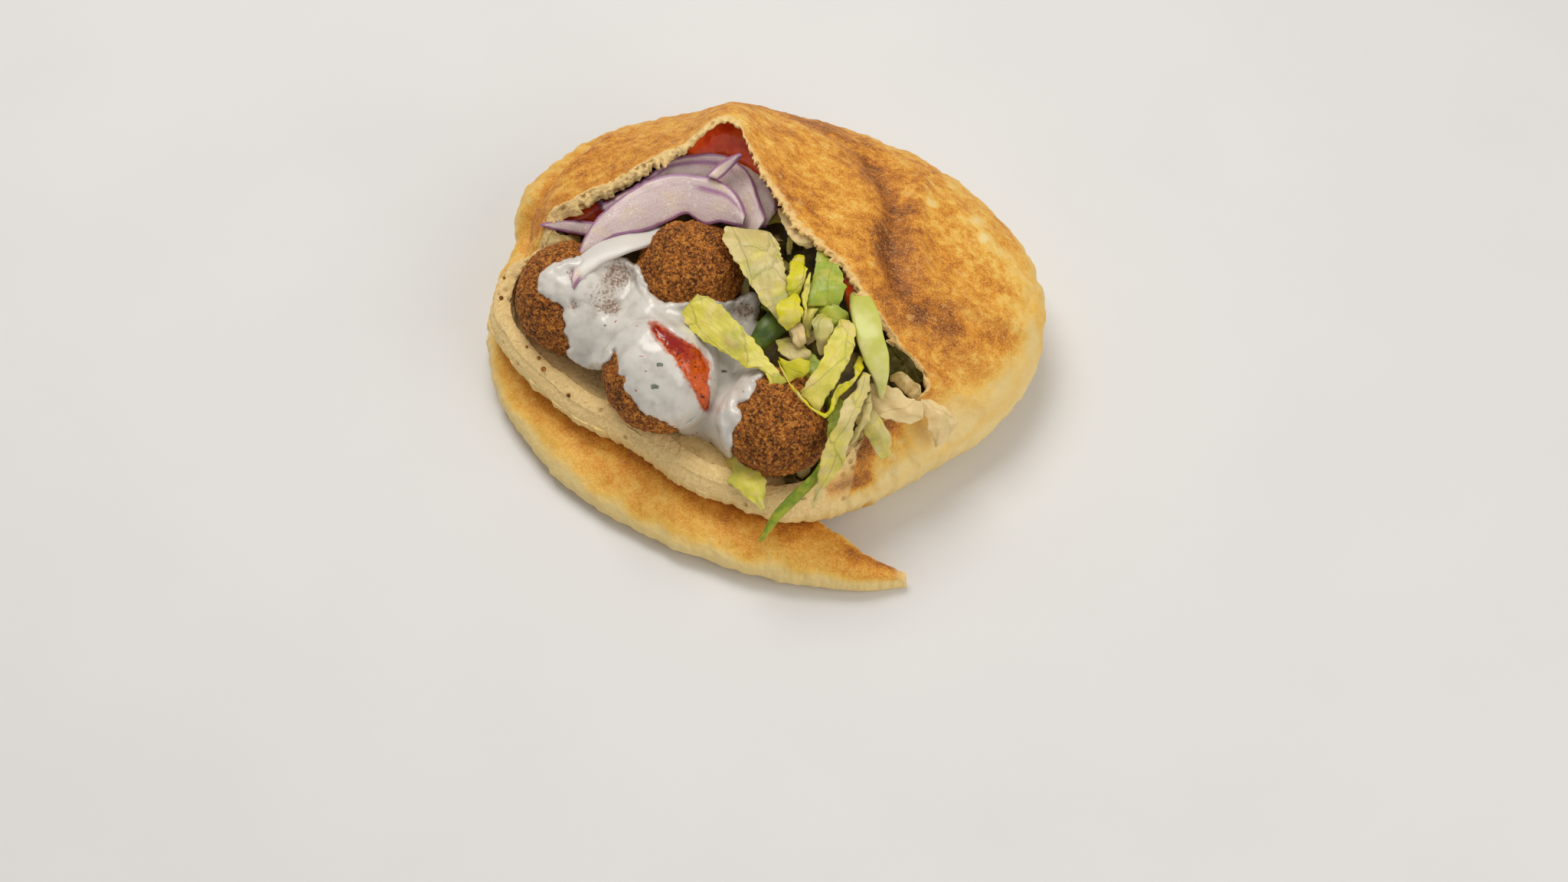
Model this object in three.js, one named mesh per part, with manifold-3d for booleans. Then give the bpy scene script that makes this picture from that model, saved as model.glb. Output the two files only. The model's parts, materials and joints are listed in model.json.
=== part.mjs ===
// A falafel pita: a pita pocket with its mouth towards -Y, the crescent that was cut
// from its edge tucked under the lip, four falafels on a bed of shredded salad,
// a pool of yoghurt sauce with a streak of chilli sauce, red onion, tomato and cucumber.
// Millimetres, +Z up. The bread rests on z = 0 and the origin is under the middle of the whole.
import * as THREE from "three";
import { mergeVertices } from "three/addons/utils/BufferGeometryUtils.js";
import Module from "manifold-3d";

const wasm = await Module();
wasm.setup();

// ---------------------------------------------------------------- driving dimensions
const GAP = 0.35; // clearance between neighbouring pieces
const MIDDLE = [-0.63, -5.65]; // middle of the whole in the working coordinates used below
const POCKET_CENTRE = [-19, -18]; // middle of the mouth, seen from above
const BREAD_FLOOR = 6.5; // thickness of the bottom layer
const BREAD_TOP = 5.2; // thickness of the top layer
const RIM_BULGE = 13; // how far the rim rolls out beyond the flat base
const LIP_LIFT = 12.5; // height of the lip's underside on the crescent
const BED_HEIGHT = 21; // height of the salad bed in the middle of the mouth
const CORE_GAP = 1.1; // clearance between the salad and the bread around it
const ROUGH_GAP = 1.2; // clearance that a falafel's plainer cutting ball adds
const SHRED = 1.1; // thickness of a shred of lettuce
const SLICE = 2.4; // thickness of an onion slice
const SAUCE = 3; // depth of the yoghurt sauce over the falafels

// Stations round the pocket: degrees, rim radius, rim height, mouth radius, mouth height.
const POCKET = [
  [0, 103, 16, 49.5, 55],
  [12, 110, 18, 43.5, 59],
  [22, 111.5, 18, 38.5, 62],
  [36, 109, 18, 35, 65],
  [52, 105.5, 17, 37, 68.5],
  [68, 101, 16, 43, 72.5],
  [82, 97, 16, 54, 75.5],
  [98, 95, 17, 46.5, 69],
  [117, 93, 20, 46.5, 61.5],
  [134, 88, 20, 53.5, 52.5],
  [143, 77.5, 20, 63, 43],
  [150, 75, 20, 67, 34],
  [156, 73, 20, 70, 30],
  [166, 70, 21, 67.5, 29],
  [176, 62.5, 21.5, 60, 28.5],
  [196, 49, 21, 46.5, 27.5],
  [234, 37.5, 20.5, 35, 26.5],
  [280, 51.5, 20.5, 49, 26.5],
  [294, 62, 20.5, 59.5, 27],
  [305, 66, 20, 63, 28.5],
  [315, 68.5, 18, 60.5, 31.5],
  [328, 74, 18, 61.5, 34],
  [338, 81, 17, 68, 35.5],
  [344, 87, 17, 71.5, 38.5],
  [350, 93.5, 16, 60, 47],
];

// The crescent: stations along its outer edge, from the hinge to the free tip,
// as x, y, width of the strip, thickness.
const CRESCENT = [
  [-84, 22, 9, 9],
  [-89.5, 9, 15, 12],
  [-87, -11, 22, 13],
  [-74, -37.5, 27, 13],
  [-54, -59, 30, 13],
  [-20, -79, 30, 12.5],
  [9, -88, 23, 12],
  [28, -89.5, 13, 10],
  [43, -87, 3, 5],
];

// Where the top layer has a crease: points seen from above, depth and half width.
const CREASES = [
  { line: [[-74, 18], [-73, 30], [-66, 44], [-56, 54]], depth: 3.2, reach: 4.5 },
];

// Falafels: name, centre, radius, squash along z.
const FALAFELS = [
  ["falafel_left", [-58.5, -4, 35.5], 18.2, 0.98],
  ["falafel_back", [-22.6, -1.5, 45], 16.5, 0.98],
  ["falafel_front", [-32, -35.7, 39.3], 17.2, 0.97],
  ["falafel_right", [4, -51.5, 37], 16.4, 1],
];

// The sauce and the chilli are drawn on a sheet that leans back by this much from upright
// and rests on the falafels: lobes as their centre on the sheet and degrees and radius round it.
const SHEET_TILT = 56;
const SAUCE_LOBES = [
  {
    centre: [-49, 11],
    edge: [[0, 14], [28, 15], [52, 18], [66, 20], [86, 17], [112, 17.5], [134, 19.5], [154, 19],
      [165, 14], [178, 10.5], [201, 11], [223, 12], [240, 16], [261, 16],
      [285, 12.5], [304, 11], [326, 12], [345, 14]],
  },
  {
    centre: [-19, 8.5],
    edge: [[5, 19], [22, 20], [33, 14], [45, 9], [76, 6.5], [120, 7.5], [141, 14], [148, 21], [156, 20],
      [168, 15], [190, 12], [240, 10], [300, 12], [337, 16], [352, 19]],
  },
  {
    centre: [-26, -7.5],
    edge: [[20, 15], [50, 15], [80, 15], [104, 17], [125, 19], [147, 18], [160, 19.5], [173, 17],
      [189, 15], [203, 16.5], [220, 16.5], [240, 15.5], [272, 16], [286, 18],
      [297, 21], [310, 20], [330, 17], [350, 16]],
  },
  {
    centre: [-10.5, -11],
    edge: [[0, 8], [20, 11.5], [40, 13.5], [62, 14.5], [90, 14], [112, 12], [140, 8], [205, 8], [240, 13],
      [256, 18], [267, 20], [273, 13], [290, 8.5], [325, 6.5]],
  },
];
const CHILLI = {
  centre: [-23, -3],
  edge: [[0, 3.4], [40, 3.2], [80, 6], [116, 14.5], [126, 14.5], [150, 5], [180, 3.4], [240, 5], [276, 12],
    [284, 12], [310, 5], [340, 3.4]],
};

// Bands follow points from one end to the other; width is given at the ends and between.
// A shred starts inside the heap of salad.
const SHREDS = [
  {
    line: [[14, -30, 38], [9, -28, 50], [4, -18, 54], [-1, -10, 58], [-7, 1, 60], [-11, 6, 57]],
    width: [5, 9, 12, 15, 14, 9],
    ruffle: 1.2,
  },
  {
    line: [
      [18, -38, 38], [13, -44, 49], [8, -46, 54], [3, -45, 54.5], [-4, -37, 55.5],
      [-13, -31, 56.5], [-22, -21, 57],
    ],
    width: [5, 6, 8, 9, 10, 9.5, 6],
    ruffle: 0.6,
  },
  {
    line: [[11, -32, 42], [8, -27, 53], [10, -17, 57], [9, -6, 58], [9, 0, 52]],
    width: [4, 6, 8, 8, 4],
    ruffle: 1.4,
  },
  {
    line: [[22, -34, 40], [22, -27, 53], [20, -16, 58], [19, -6, 58.5], [18, 0, 52]],
    width: [4, 5, 11, 10, 5],
    ruffle: 0.8,
  },
  {
    line: [[17, -28, 42], [22, -29, 52], [22, -36, 55.5], [19, -44, 54.5], [14, -52, 50]],
    width: [5, 8, 9, 9.5, 8],
    ruffle: 0.5,
  },
  {
    line: [
      [22, -36, 38], [26, -42, 49], [23, -50, 51.5], [20, -57, 51], [16, -59, 51], [11, -56, 53],
      [8, -49, 54],
    ],
    width: [4, 5, 4, 3.5, 3, 3, 3],
    ruffle: 0,
  },
  {
    line: [
      [30, -34, 34], [30, -41, 46], [28, -48, 50.5], [25, -55, 49.5], [21, -63, 45.5],
      [18, -70, 39], [16, -76, 31.5],
    ],
    width: [4, 6, 8, 8.5, 8, 6, 1.5],
    ruffle: 0.6,
  },
  {
    line: [[36, -36, 34], [33, -43, 46], [30, -52, 45], [28, -58, 40], [24, -62, 33]],
    width: [4, 6, 5, 5, 3],
    ruffle: 0.4,
  },
  {
    line: [[30, -38, 32], [33, -45, 41], [40, -50, 42], [47, -51, 40], [52, -48, 35]],
    width: [5, 7, 8, 8, 4],
    ruffle: 0.8,
  },
  {
    line: [[33, -28, 34], [37, -34, 42], [44, -38, 41], [47, -42, 38], [44, -47, 33]],
    width: [3, 4.5, 5, 5, 4],
    ruffle: 0.3,
  },
  {
    line: [[-12, -54, 19], [-8, -61, 28], [-4, -68, 31], [0, -77, 28.5]],
    width: [8, 11, 9, 1.5],
    ruffle: 0.8,
  },
  {
    line: [[16, -14, 44], [12, -8, 55], [7, -1, 59], [3, 5, 60], [0, 10, 56]],
    width: [4, 5, 5.5, 5, 3],
    ruffle: 0.3,
  },
  {
    line: [[18, -32, 40], [14, -36, 50], [8, -33, 51], [3, -29, 50]],
    width: [5, 6, 7, 4],
    ruffle: 0.6,
  },
  {
    line: [[12, -38, 42], [14, -40, 51], [17, -31, 53], [13, -22, 53]],
    width: [4, 7, 9, 6],
    ruffle: 0.6,
  },
  {
    line: [[30, -18, 36], [36, -26, 43], [42, -31, 42], [47, -36, 36]],
    width: [6, 7, 7, 5],
    ruffle: 0.6,
  },
  {
    line: [[-48, 24, 34], [-43, 27, 48], [-35, 31, 54], [-26, 33, 52]],
    width: [4, 5, 5, 4],
    ruffle: 0.5,
  },
  {
    line: [[-66, 20, 28], [-67, 17, 38], [-64, 14, 41], [-58, 16, 38]],
    width: [5, 6, 5, 4],
    ruffle: 0.5,
  },
];
const HEAP = { centre: [16, -27], height: 47, reach: 24 }; // where the salad is piled highest
const ONIONS = [
  ["onion_front",
    [[-58, 0, 49], [-50, 8, 53], [-38, 15, 57], [-24, 17, 61], [-12, 14, 61], [-3, 7, 57]],
    [1.5, 8, 12, 15, 15, 4]],
  ["onion_middle",
    [[-51, 21, 48], [-39, 25, 52], [-27, 27, 57], [-13, 25, 60], [-4, 18, 60], [1, 9, 56]],
    [4, 8, 10, 12, 10, 4]],
  ["onion_point",
    [[-18, 19, 64.5], [-12, 23, 66], [-6, 28, 67.5]],
    [2, 6, 1.5]],
  ["onion_left",
    [[-71, 19, 43], [-62, 18, 44], [-53, 14, 44], [-47, 11, 42]],
    [1.5, 5, 6, 3]],
  ["onion_upright",
    [[-57, 31, 47], [-53, 28, 47.5], [-49, 24, 46]],
    [2.5, 4.5, 4]],
  ["onion_back",
    [[-8, 30, 58], [0, 22, 58], [4, 12, 54], [5, 4, 48]],
    [6, 11, 10, 5]],
  ["onion_sauced",
    [[-57, -9, 52], [-51, -1, 53], [-43, 5, 53], [-34, 9, 52]],
    [1.5, 5, 7, 5]],
];
const TOMATOES = [
  ["tomato_top",
    [[-23, 32, 58], [-13, 35, 62], [-4, 33, 60], [3, 27, 55]],
    [7, 12, 12, 8], 5],
  ["tomato_left",
    [[-63, 22, 38], [-57, 24, 41], [-50, 27, 43], [-44, 30, 42]],
    [5, 8, 9, 6], 4],
  ["tomato_right",
    [[27, -2, 48], [27, -9, 52], [28, -15, 50], [30, -21, 44]],
    [5, 7, 7, 5], 4],
];
const CUCUMBERS = [
  ["cucumber_pale",
    [[28, -12, 48], [30, -23, 53.5], [33, -34, 53], [35, -43, 49], [36, -49, 44]],
    [8, 10, 10.5, 8, 3], 4],
  ["cucumber_dark",
    [[-3, -31, 47], [2, -26, 50], [7, -20, 50], [12, -14, 46]],
    [5, 8, 8, 5], 4],
];
const SPRING_ONION = {
  line: [
    [20, -48, 45], [21, -56, 44.5], [20, -62, 43], [18, -67, 40],
    [15, -71, 37], [10, -75, 34], [4, -80, 30.5], [-1, -86, 25.5],
  ],
  width: [3, 3.4, 3.4, 3.4, 4, 4.4, 4, 1.2],
  thick: 1.6,
};

// ---------------------------------------------------------------- small tools
const rad = THREE.MathUtils.degToRad;
const lerp = THREE.MathUtils.lerp;
const step = THREE.MathUtils.smoothstep;
const clamp = THREE.MathUtils.clamp;

// A monotone cubic through stations [t, a, b, ...]; closed ones repeat after 360.
function spline(stations, closed) {
  const n = stations.length;
  const width = stations[0].length - 1;
  const at = (i) => {
    const turns = closed ? Math.floor(i / n) : 0;
    const s = stations[closed ? ((i % n) + n) % n : clamp(i, 0, n - 1)];
    return [s[0] + 360 * turns, ...s.slice(1)];
  };
  const tangent = (i, k) => {
    const [a, b, c] = [at(i - 1), at(i), at(i + 1)];
    const before = b[0] > a[0] ? (b[k] - a[k]) / (b[0] - a[0]) : 0;
    const after = c[0] > b[0] ? (c[k] - b[k]) / (c[0] - b[0]) : 0;
    if (b[0] === a[0]) return after;
    if (c[0] === b[0]) return before;
    return before * after > 0 ? (2 * before * after) / (before + after) : 0;
  };
  return (t) => {
    if (closed) t = ((t % 360) + 360) % 360;
    let i = stations.findLastIndex((s) => s[0] <= t);
    if (!closed) i = clamp(i, 0, n - 2);
    const [a, b] = [at(i), at(i + 1)];
    const h = b[0] - a[0];
    const u = (t - a[0]) / h;
    const out = [];
    for (let k = 1; k <= width; k++)
      out.push(
        a[k] * (1 + 2 * u) * (1 - u) ** 2 + b[k] * u * u * (3 - 2 * u) +
          h * (tangent(i, k) * u * (1 - u) ** 2 - tangent(i + 1, k) * u * u * (1 - u)),
      );
    return out;
  };
}

// Smooth unevenness: a few crossing waves, within about -1 and 1.
function waves(x, y, z, length, seed = 0) {
  let sum = 0;
  for (let i = 0; i < 4; i++) {
    const a = 1.7 * seed + 2.4 * i;
    const b = 0.9 * seed + 1.3 * i;
    const across = x * Math.cos(a) * Math.cos(b) + y * Math.sin(a) * Math.cos(b) + z * Math.sin(b);
    sum += Math.sin((2 * Math.PI * across) / (length * (1 + 0.31 * i)) + 3.1 * i + seed);
  }
  return sum / 2.6;
}

// Distance from a point to a line of points, both seen from above.
function distanceToLine(x, y, line) {
  let best = Infinity;
  for (let i = 0; i + 1 < line.length; i++) {
    const [[ax, ay], [bx, by]] = [line[i], line[i + 1]];
    const [dx, dy] = [bx - ax, by - ay];
    const t = clamp(((x - ax) * dx + (y - ay) * dy) / (dx * dx + dy * dy), 0, 1);
    best = Math.min(best, Math.hypot(x - ax - t * dx, y - ay - t * dy));
  }
  return best;
}

function manifoldOf(geometry) {
  const bare = geometry.clone();
  for (const name of Object.keys(bare.attributes)) if (name !== "position") bare.deleteAttribute(name);
  const merged = mergeVertices(bare, 1e-3);
  return new wasm.Manifold(
    new wasm.Mesh({
      numProp: 3,
      vertProperties: merged.attributes.position.array,
      triVerts: new Uint32Array(merged.index.array),
    }),
  );
}

function geometryOf(solid) {
  const mesh = solid.getMesh();
  const positions = new Float32Array(mesh.numVert * 3);
  for (let i = 0; i < mesh.numVert; i++)
    positions.set(mesh.vertProperties.subarray(i * mesh.numProp, i * mesh.numProp + 3), i * 3);
  return new THREE.BufferGeometry()
    .setAttribute("position", new THREE.BufferAttribute(positions, 3))
    .setIndex(new THREE.BufferAttribute(mesh.triVerts, 1));
}

// The largest of the bodies that a cut leaves.
function mainBody(solid) {
  const bodies = solid.decompose();
  return bodies.reduce((a, b) => (b.volume() > a.volume() ? b : a));
}

function meshOf(points, index) {
  return new THREE.BufferGeometry()
    .setAttribute("position", new THREE.Float32BufferAttribute(points.flat(), 3))
    .setIndex(index);
}

// A closed mesh from rings of points, each ring closed, with a point at each end.
function ringMesh(first, rings, last) {
  const count = rings[0].length;
  const end = rings.length * count + 1;
  const index = [];
  const id = (ring, i) => 1 + ring * count + (i % count);
  for (let i = 0; i < count; i++) {
    index.push(0, id(0, i + 1), id(0, i));
    for (let r = 0; r + 1 < rings.length; r++)
      index.push(id(r, i), id(r, i + 1), id(r + 1, i + 1), id(r, i), id(r + 1, i + 1), id(r + 1, i));
    index.push(end, id(rings.length - 1, i), id(rings.length - 1, i + 1));
  }
  return meshOf([first, ...rings.flat(), last], index);
}

// A thin solid between two grids of points, rows of equal length, split into triangles alike.
function sheetMesh(front, back) {
  const [rows, columns] = [front.length, front[0].length];
  const index = [];
  const id = (side, i, j) => side * rows * columns + i * columns + j;
  const quad = (a, b, c, d) => index.push(a, b, c, a, c, d);
  for (let i = 0; i + 1 < rows; i++) {
    for (let j = 0; j + 1 < columns; j++) {
      quad(id(0, i, j), id(0, i + 1, j), id(0, i + 1, j + 1), id(0, i, j + 1));
      index.push(id(1, i, j), id(1, i + 1, j + 1), id(1, i + 1, j));
      index.push(id(1, i, j), id(1, i, j + 1), id(1, i + 1, j + 1));
    }
    quad(id(0, i, 0), id(1, i, 0), id(1, i + 1, 0), id(0, i + 1, 0));
    const j = columns - 1;
    quad(id(0, i, j), id(0, i + 1, j), id(1, i + 1, j), id(1, i, j));
  }
  for (let j = 0; j + 1 < columns; j++) {
    quad(id(0, 0, j), id(0, 0, j + 1), id(1, 0, j + 1), id(1, 0, j));
    const i = rows - 1;
    quad(id(0, i, j), id(1, i, j), id(1, i, j + 1), id(0, i, j + 1));
  }
  return meshOf([...front.flat(), ...back.flat()], index);
}

// ---------------------------------------------------------------- the pita pocket
const pocketAt = spline(POCKET, true);

// How much of the lip's lift there is at an angle: all of it over the crescent, none at the back.
const liftAt = (angle) => step(angle, 150, 182) * (1 - step(angle, 292, 326));

// The outline of the pocket's outer skin in the half plane at an angle, as [radius, height]
// points from the middle of the base, round the rim, to the edge of the mouth.
const BASE_STEPS = 4;
const RIM_STEPS = 4;
const TOP_STEPS = 8;
function skinProfile(angle) {
  const [rimR, rimZ, mouthR, mouthZ] = pocketAt(angle);
  const lift = LIP_LIFT * liftAt(angle);
  const flat = rimR - RIM_BULGE;
  const height = (r) => lift * step(r / rimR, 0.38, 0.85);
  const points = [];
  for (let i = 1; i <= BASE_STEPS; i++) {
    const r = (flat * i) / BASE_STEPS;
    points.push([r, height(r)]);
  }
  const low = height(flat);
  for (let i = 1; i <= RIM_STEPS; i++) {
    const a = (Math.PI / 2) * (i / RIM_STEPS);
    points.push([flat + RIM_BULGE * Math.sin(a), low + (rimZ - low) * (1 - Math.cos(a))]);
  }
  // The top layer leaves the rim upright and reaches the mouth nearly level.
  const reach = Math.hypot(rimR - mouthR, mouthZ - rimZ);
  const level = step(rimR - mouthR, 4, 24);
  const rise = reach * lerp(0.5, 0.95, level);
  const end = [-reach * lerp(0.1, 0.75, level), reach * lerp(0.9, 0.42, level)];
  for (let i = 1; i <= TOP_STEPS; i++) {
    const u = i / TOP_STEPS;
    const [h00, h10] = [(1 + 2 * u) * (1 - u) ** 2, u * (1 - u) ** 2];
    const [h01, h11] = [u * u * (3 - 2 * u), -u * u * (1 - u)];
    const z = h00 * rimZ + h10 * rise + h01 * mouthZ + h11 * end[1];
    points.push([h00 * rimR + h01 * mouthR + h11 * end[0], z]);
  }
  return points;
}

// The same outline moved inwards by a thickness that may change along it.
function insetProfile(profile, thickness) {
  return profile.map(([r, z], i) => {
    const before = profile[Math.max(i - 1, 0)];
    const after = profile[Math.min(i + 1, profile.length - 1)];
    const [dr, dz] = [after[0] - before[0], after[1] - before[1]];
    const length = Math.hypot(dr, dz);
    const t = thickness(i / (profile.length - 1));
    return [r - (dz / length) * t, z + (dr / length) * t];
  });
}

// A point of an outline in space: uneven above the base, and pressed in along the creases.
function placeProfile(angle, [r, z], creased) {
  const x = POCKET_CENTRE[0] + r * Math.cos(rad(angle));
  const y = POCKET_CENTRE[1] + r * Math.sin(rad(angle));
  const soft = step(z, 2, 12);
  let inwards = 0;
  if (creased)
    for (const { line, depth, reach } of CREASES)
      inwards += soft * depth * Math.exp(-((distanceToLine(x, y, line) / reach) ** 2));
  const [ox, oy] = [Math.cos(rad(angle)), Math.sin(rad(angle))];
  return [x - ox * inwards, y - oy * inwards, z + soft * (0.8 * waves(x, y, z, 34, 2)) - 0.5 * inwards];
}

const ANGLES = 50;
const wall = (s) => lerp(BREAD_FLOOR, BREAD_TOP, step(s, 0.4, 0.75));

function pocketShell() {
  const outer = [];
  const inner = [];
  for (let a = 0; a < ANGLES; a++) {
    const angle = (360 * a) / ANGLES;
    const skin = skinProfile(angle);
    outer.push(skin);
    inner.push(insetProfile(skin, wall).reverse());
  }
  const rings = [];
  for (let i = 0; i < outer[0].length; i++)
    rings.push(outer.map((p, a) => placeProfile((360 * a) / ANGLES, p[i], true)));
  for (let i = 0; i < inner[0].length; i++)
    rings.push(inner.map((p, a) => placeProfile((360 * a) / ANGLES, p[i], false)));
  const [x, y] = POCKET_CENTRE;
  return manifoldOf(ringMesh([x, y, 0], rings, [x, y, BREAD_FLOOR]));
}

// ---------------------------------------------------------------- the cut crescent
const CRESCENT_STEPS = 18;
const CRESCENT_SECTION = [
  [0.2, 0], [0.45, 0], [0.8, 0], [0.97, 0.12], [1, 0.5], [0.96, 0.8],
  [0.75, 0.95], [0.45, 1], [0.2, 0.93], [0.05, 0.72], [0, 0.42], [0.09, 0.1],
];
function crescent() {
  const along = spline(CRESCENT.map((s, i) => [i, ...s]), false);
  const last = CRESCENT.length - 1;
  const rings = [];
  for (let i = 0; i <= CRESCENT_STEPS; i++) {
    const t = (last * i) / CRESCENT_STEPS;
    const [x, y, width, thick] = along(t);
    const [xa, ya] = along(Math.max(t - 0.05, 0));
    const [xb, yb] = along(Math.min(t + 0.05, last));
    const length = Math.hypot(xb - xa, yb - ya);
    // Inwards is to the left of the way from the hinge to the tip.
    const [nx, ny] = [-(yb - ya) / length, (xb - xa) / length];
    rings.push(
      CRESCENT_SECTION.map(([across, up]) => {
        const [px, py] = [x + nx * width * across, y + ny * width * across];
        return [px, py, thick * up + (up > 0.3 ? 0.5 * waves(px, py, thick * up, 30, 5) : 0)];
      }),
    );
  }
  const middle = (ring) => [0, 1, 2].map((k) => ring.reduce((sum, p) => sum + p[k], 0) / ring.length);
  return manifoldOf(ringMesh(middle(rings[0]), rings, middle(rings[CRESCENT_STEPS])));
}

// ---------------------------------------------------------------- falafels
const FALAFEL_DETAIL = 4;
function falafel([x, y, z], radius, squash, detail = FALAFEL_DETAIL) {
  const bare = new THREE.IcosahedronGeometry(1, detail).deleteAttribute("normal").deleteAttribute("uv");
  const ball = mergeVertices(bare);
  const p = ball.attributes.position;
  for (let i = 0; i < p.count; i++) {
    const [a, b, c] = [p.getX(i), p.getY(i), p.getZ(i)];
    const lumps = 0.7 * waves(a * 18, b * 18, c * 18, 24, x) + 0.35 * waves(a * 18, b * 18, c * 18, 7, y);
    const r = radius + lumps - 0.4;
    p.setXYZ(i, x + a * r, y + b * r, z + c * r * squash);
  }
  return manifoldOf(ball);
}

// ---------------------------------------------------------------- bands: shreds and slices
// A thin solid along a smooth line through points. It turns its face up and towards -Y, and
// may cup and ruffle.
const VIEWED = [0, -0.56, 0.83];
const BAND_PACE = 9; // length of its facets
const BAND_NARROW = 7; // up to this width it is flat across
function band({ line, width, thick, cup = 0, ruffle = 0 }) {
  const points = line.map((p) => new THREE.Vector3(...p));
  const curve = new THREE.CatmullRomCurve3(points, false, "catmullrom", 0.5);
  const columns = Math.max(...width) > BAND_NARROW ? 2 : 1;
  const widthAt = spline(width.map((w, i) => [i / (width.length - 1), w]), false);
  const rows = Math.max(4, Math.round(curve.getLength() / BAND_PACE));
  const up = new THREE.Vector3(...VIEWED).normalize();
  const [front, back] = [[], []];
  for (let i = 0; i <= rows; i++) {
    const t = i / rows;
    const along = curve.getTangent(t);
    const side = new THREE.Vector3().crossVectors(up, along).normalize();
    const out = new THREE.Vector3().crossVectors(along, side);
    const half = widthAt(t)[0] / 2;
    const at = curve.getPoint(t);
    const place = (offset) =>
      Array.from({ length: columns + 1 }, (_, j) => {
        const c = (2 * j) / columns - 1;
        const lift = cup * (1 - c * c) + ruffle * c * Math.sin(9 * t + 2 * c + line[0][0]);
        return at.clone().addScaledVector(side, c * half).addScaledVector(out, lift + offset).toArray();
      });
    front.push(place(thick / 2));
    back.push(place(-thick / 2));
  }
  return manifoldOf(sheetMesh(front, back));
}

// ---------------------------------------------------------------- sauces
// Sheet coordinates: p along x, q up the leaning sheet, h off it towards its front.
const [leanSin, leanCos] = [Math.sin(rad(SHEET_TILT)), Math.cos(rad(SHEET_TILT))];
const toSheet = ([x, y, z]) => [x, y * leanSin + z * leanCos, z * leanSin - y * leanCos];
const fromSheet = ([p, q, h]) => [p, q * leanSin - h * leanCos, q * leanCos + h * leanSin];

// Height of a layer over the falafels that swells them by over, and between them fills
// a hollow down to DIP.
const DIP = 43;
const SAUCE_BLEND = 1.6;
function layerHeight(p, q, over) {
  let sum = Math.exp((DIP + over) / SAUCE_BLEND);
  for (const [, centre, radius] of FALAFELS) {
    const [cp, cq, ch] = toSheet(centre);
    const rest = (radius + over) ** 2 - (p - cp) ** 2 - (q - cq) ** 2;
    if (rest > 0) sum += Math.exp((ch + Math.sqrt(rest)) / SAUCE_BLEND);
  }
  return SAUCE_BLEND * Math.log(sum);
}

// One lobe: from its middle below the layer, out to its edge, and back over the layer.
const LOBE_SHARES = [1, 0.86, 0.45];
function lobe({ centre: [cp, cq], edge }, lowest, highest, spokes = 15) {
  const radiusAt = spline(edge, true);
  const ring = (share, over) =>
    Array.from({ length: spokes }, (_, i) => {
      const angle = (360 * i) / spokes;
      const r = radiusAt(angle)[0] * share;
      const [p, q] = [cp + r * Math.cos(rad(angle)), cq + r * Math.sin(rad(angle))];
      return fromSheet([p, q, layerHeight(p, q, over)]);
    });
  const below = LOBE_SHARES.map((share) => ring(share, lowest)).reverse();
  const above = LOBE_SHARES.map((share) => ring(share, share === 1 ? lerp(lowest, highest, 0.7) : highest));
  const middle = (over) => fromSheet([cp, cq, layerHeight(cp, cq, over)]);
  return manifoldOf(ringMesh(middle(lowest), [...below, ...above], middle(highest)));
}

// ---------------------------------------------------------------- the salad
// How far round the inside of the pocket the salad is packed, as a share of the outline,
// and how near the middle it starts to rise.
const PACKING = spline(
  [[0, 0.86, 0], [60, 0.86, 0.05], [120, 0.86, 0.1], [145, 0.75, 0.3], [158, 0.3, 0.85], [180, 0.21, 0.85],
    [230, 0.2, 0.85], [285, 0.2, 0.85], [300, 0.27, 0.8], [314, 0.42, 0.3], [338, 0.5, 0], [350, 0.75, 0]],
  true,
);
const CORE_ANGLES = 26;
const CORE_WALL_STEPS = 8;
const CORE_TOP_STEPS = 5;
function saladCore() {
  const sides = Array.from({ length: CORE_ANGLES }, (_, a) => {
    const angle = (360 * a) / CORE_ANGLES;
    const inside = insetProfile(skinProfile(angle), (s) => wall(s) + CORE_GAP);
    const [packed, shoulder] = PACKING(angle);
    const at = (s) => {
      const f = s * (inside.length - 1);
      const i = Math.min(Math.floor(f), inside.length - 2);
      return [0, 1].map((k) => lerp(inside[i][k], inside[i + 1][k], f - i));
    };
    const points = [];
    for (let i = 1; i <= CORE_WALL_STEPS; i++) points.push(at((packed * i) / CORE_WALL_STEPS));
    const [r, z] = points[points.length - 1];
    for (let i = 1; i < CORE_TOP_STEPS; i++) {
      const share = 1 - i / CORE_TOP_STEPS;
      points.push([r * share, BED_HEIGHT + (z - BED_HEIGHT) * step(share, shoulder, 1)]);
    }
    return points.map((p, i) => {
      const [px, py, pz] = placeProfile(angle, p, false);
      const away = Math.hypot(px - HEAP.centre[0], py - HEAP.centre[1]) / HEAP.reach;
      const piled = lerp(BED_HEIGHT, HEAP.height, Math.exp(-away * away));
      return [px, py, i < CORE_WALL_STEPS ? pz : Math.max(pz, piled)];
    });
  });
  const rings = sides[0].map((_, i) => sides.map((side) => side[i]));
  const [x, y] = POCKET_CENTRE;
  return manifoldOf(ringMesh([x, y, BREAD_FLOOR + CORE_GAP], rings, [x, y, BED_HEIGHT]));
}

// ---------------------------------------------------------------- assembly
function material(colour, roughness) {
  return new THREE.MeshStandardMaterial({ color: new THREE.Color(...colour), roughness, metalness: 0 });
}

const looks = {
  bread: material([0.72, 0.45, 0.18], 0.7),
  falafel: material([0.24, 0.1, 0.035], 0.85),
  sauce: material([0.8, 0.8, 0.78], 0.3),
  chilli: material([0.6, 0.06, 0.01], 0.25),
  onion: material([0.62, 0.48, 0.6], 0.4),
  tomato: material([0.62, 0.07, 0.02], 0.3),
  cucumber: material([0.5, 0.62, 0.2], 0.4),
  skin: material([0.08, 0.2, 0.03], 0.35),
  lettuce: material([0.6, 0.65, 0.2], 0.5),
  herb: material([0.15, 0.36, 0.04], 0.45),
};

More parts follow.
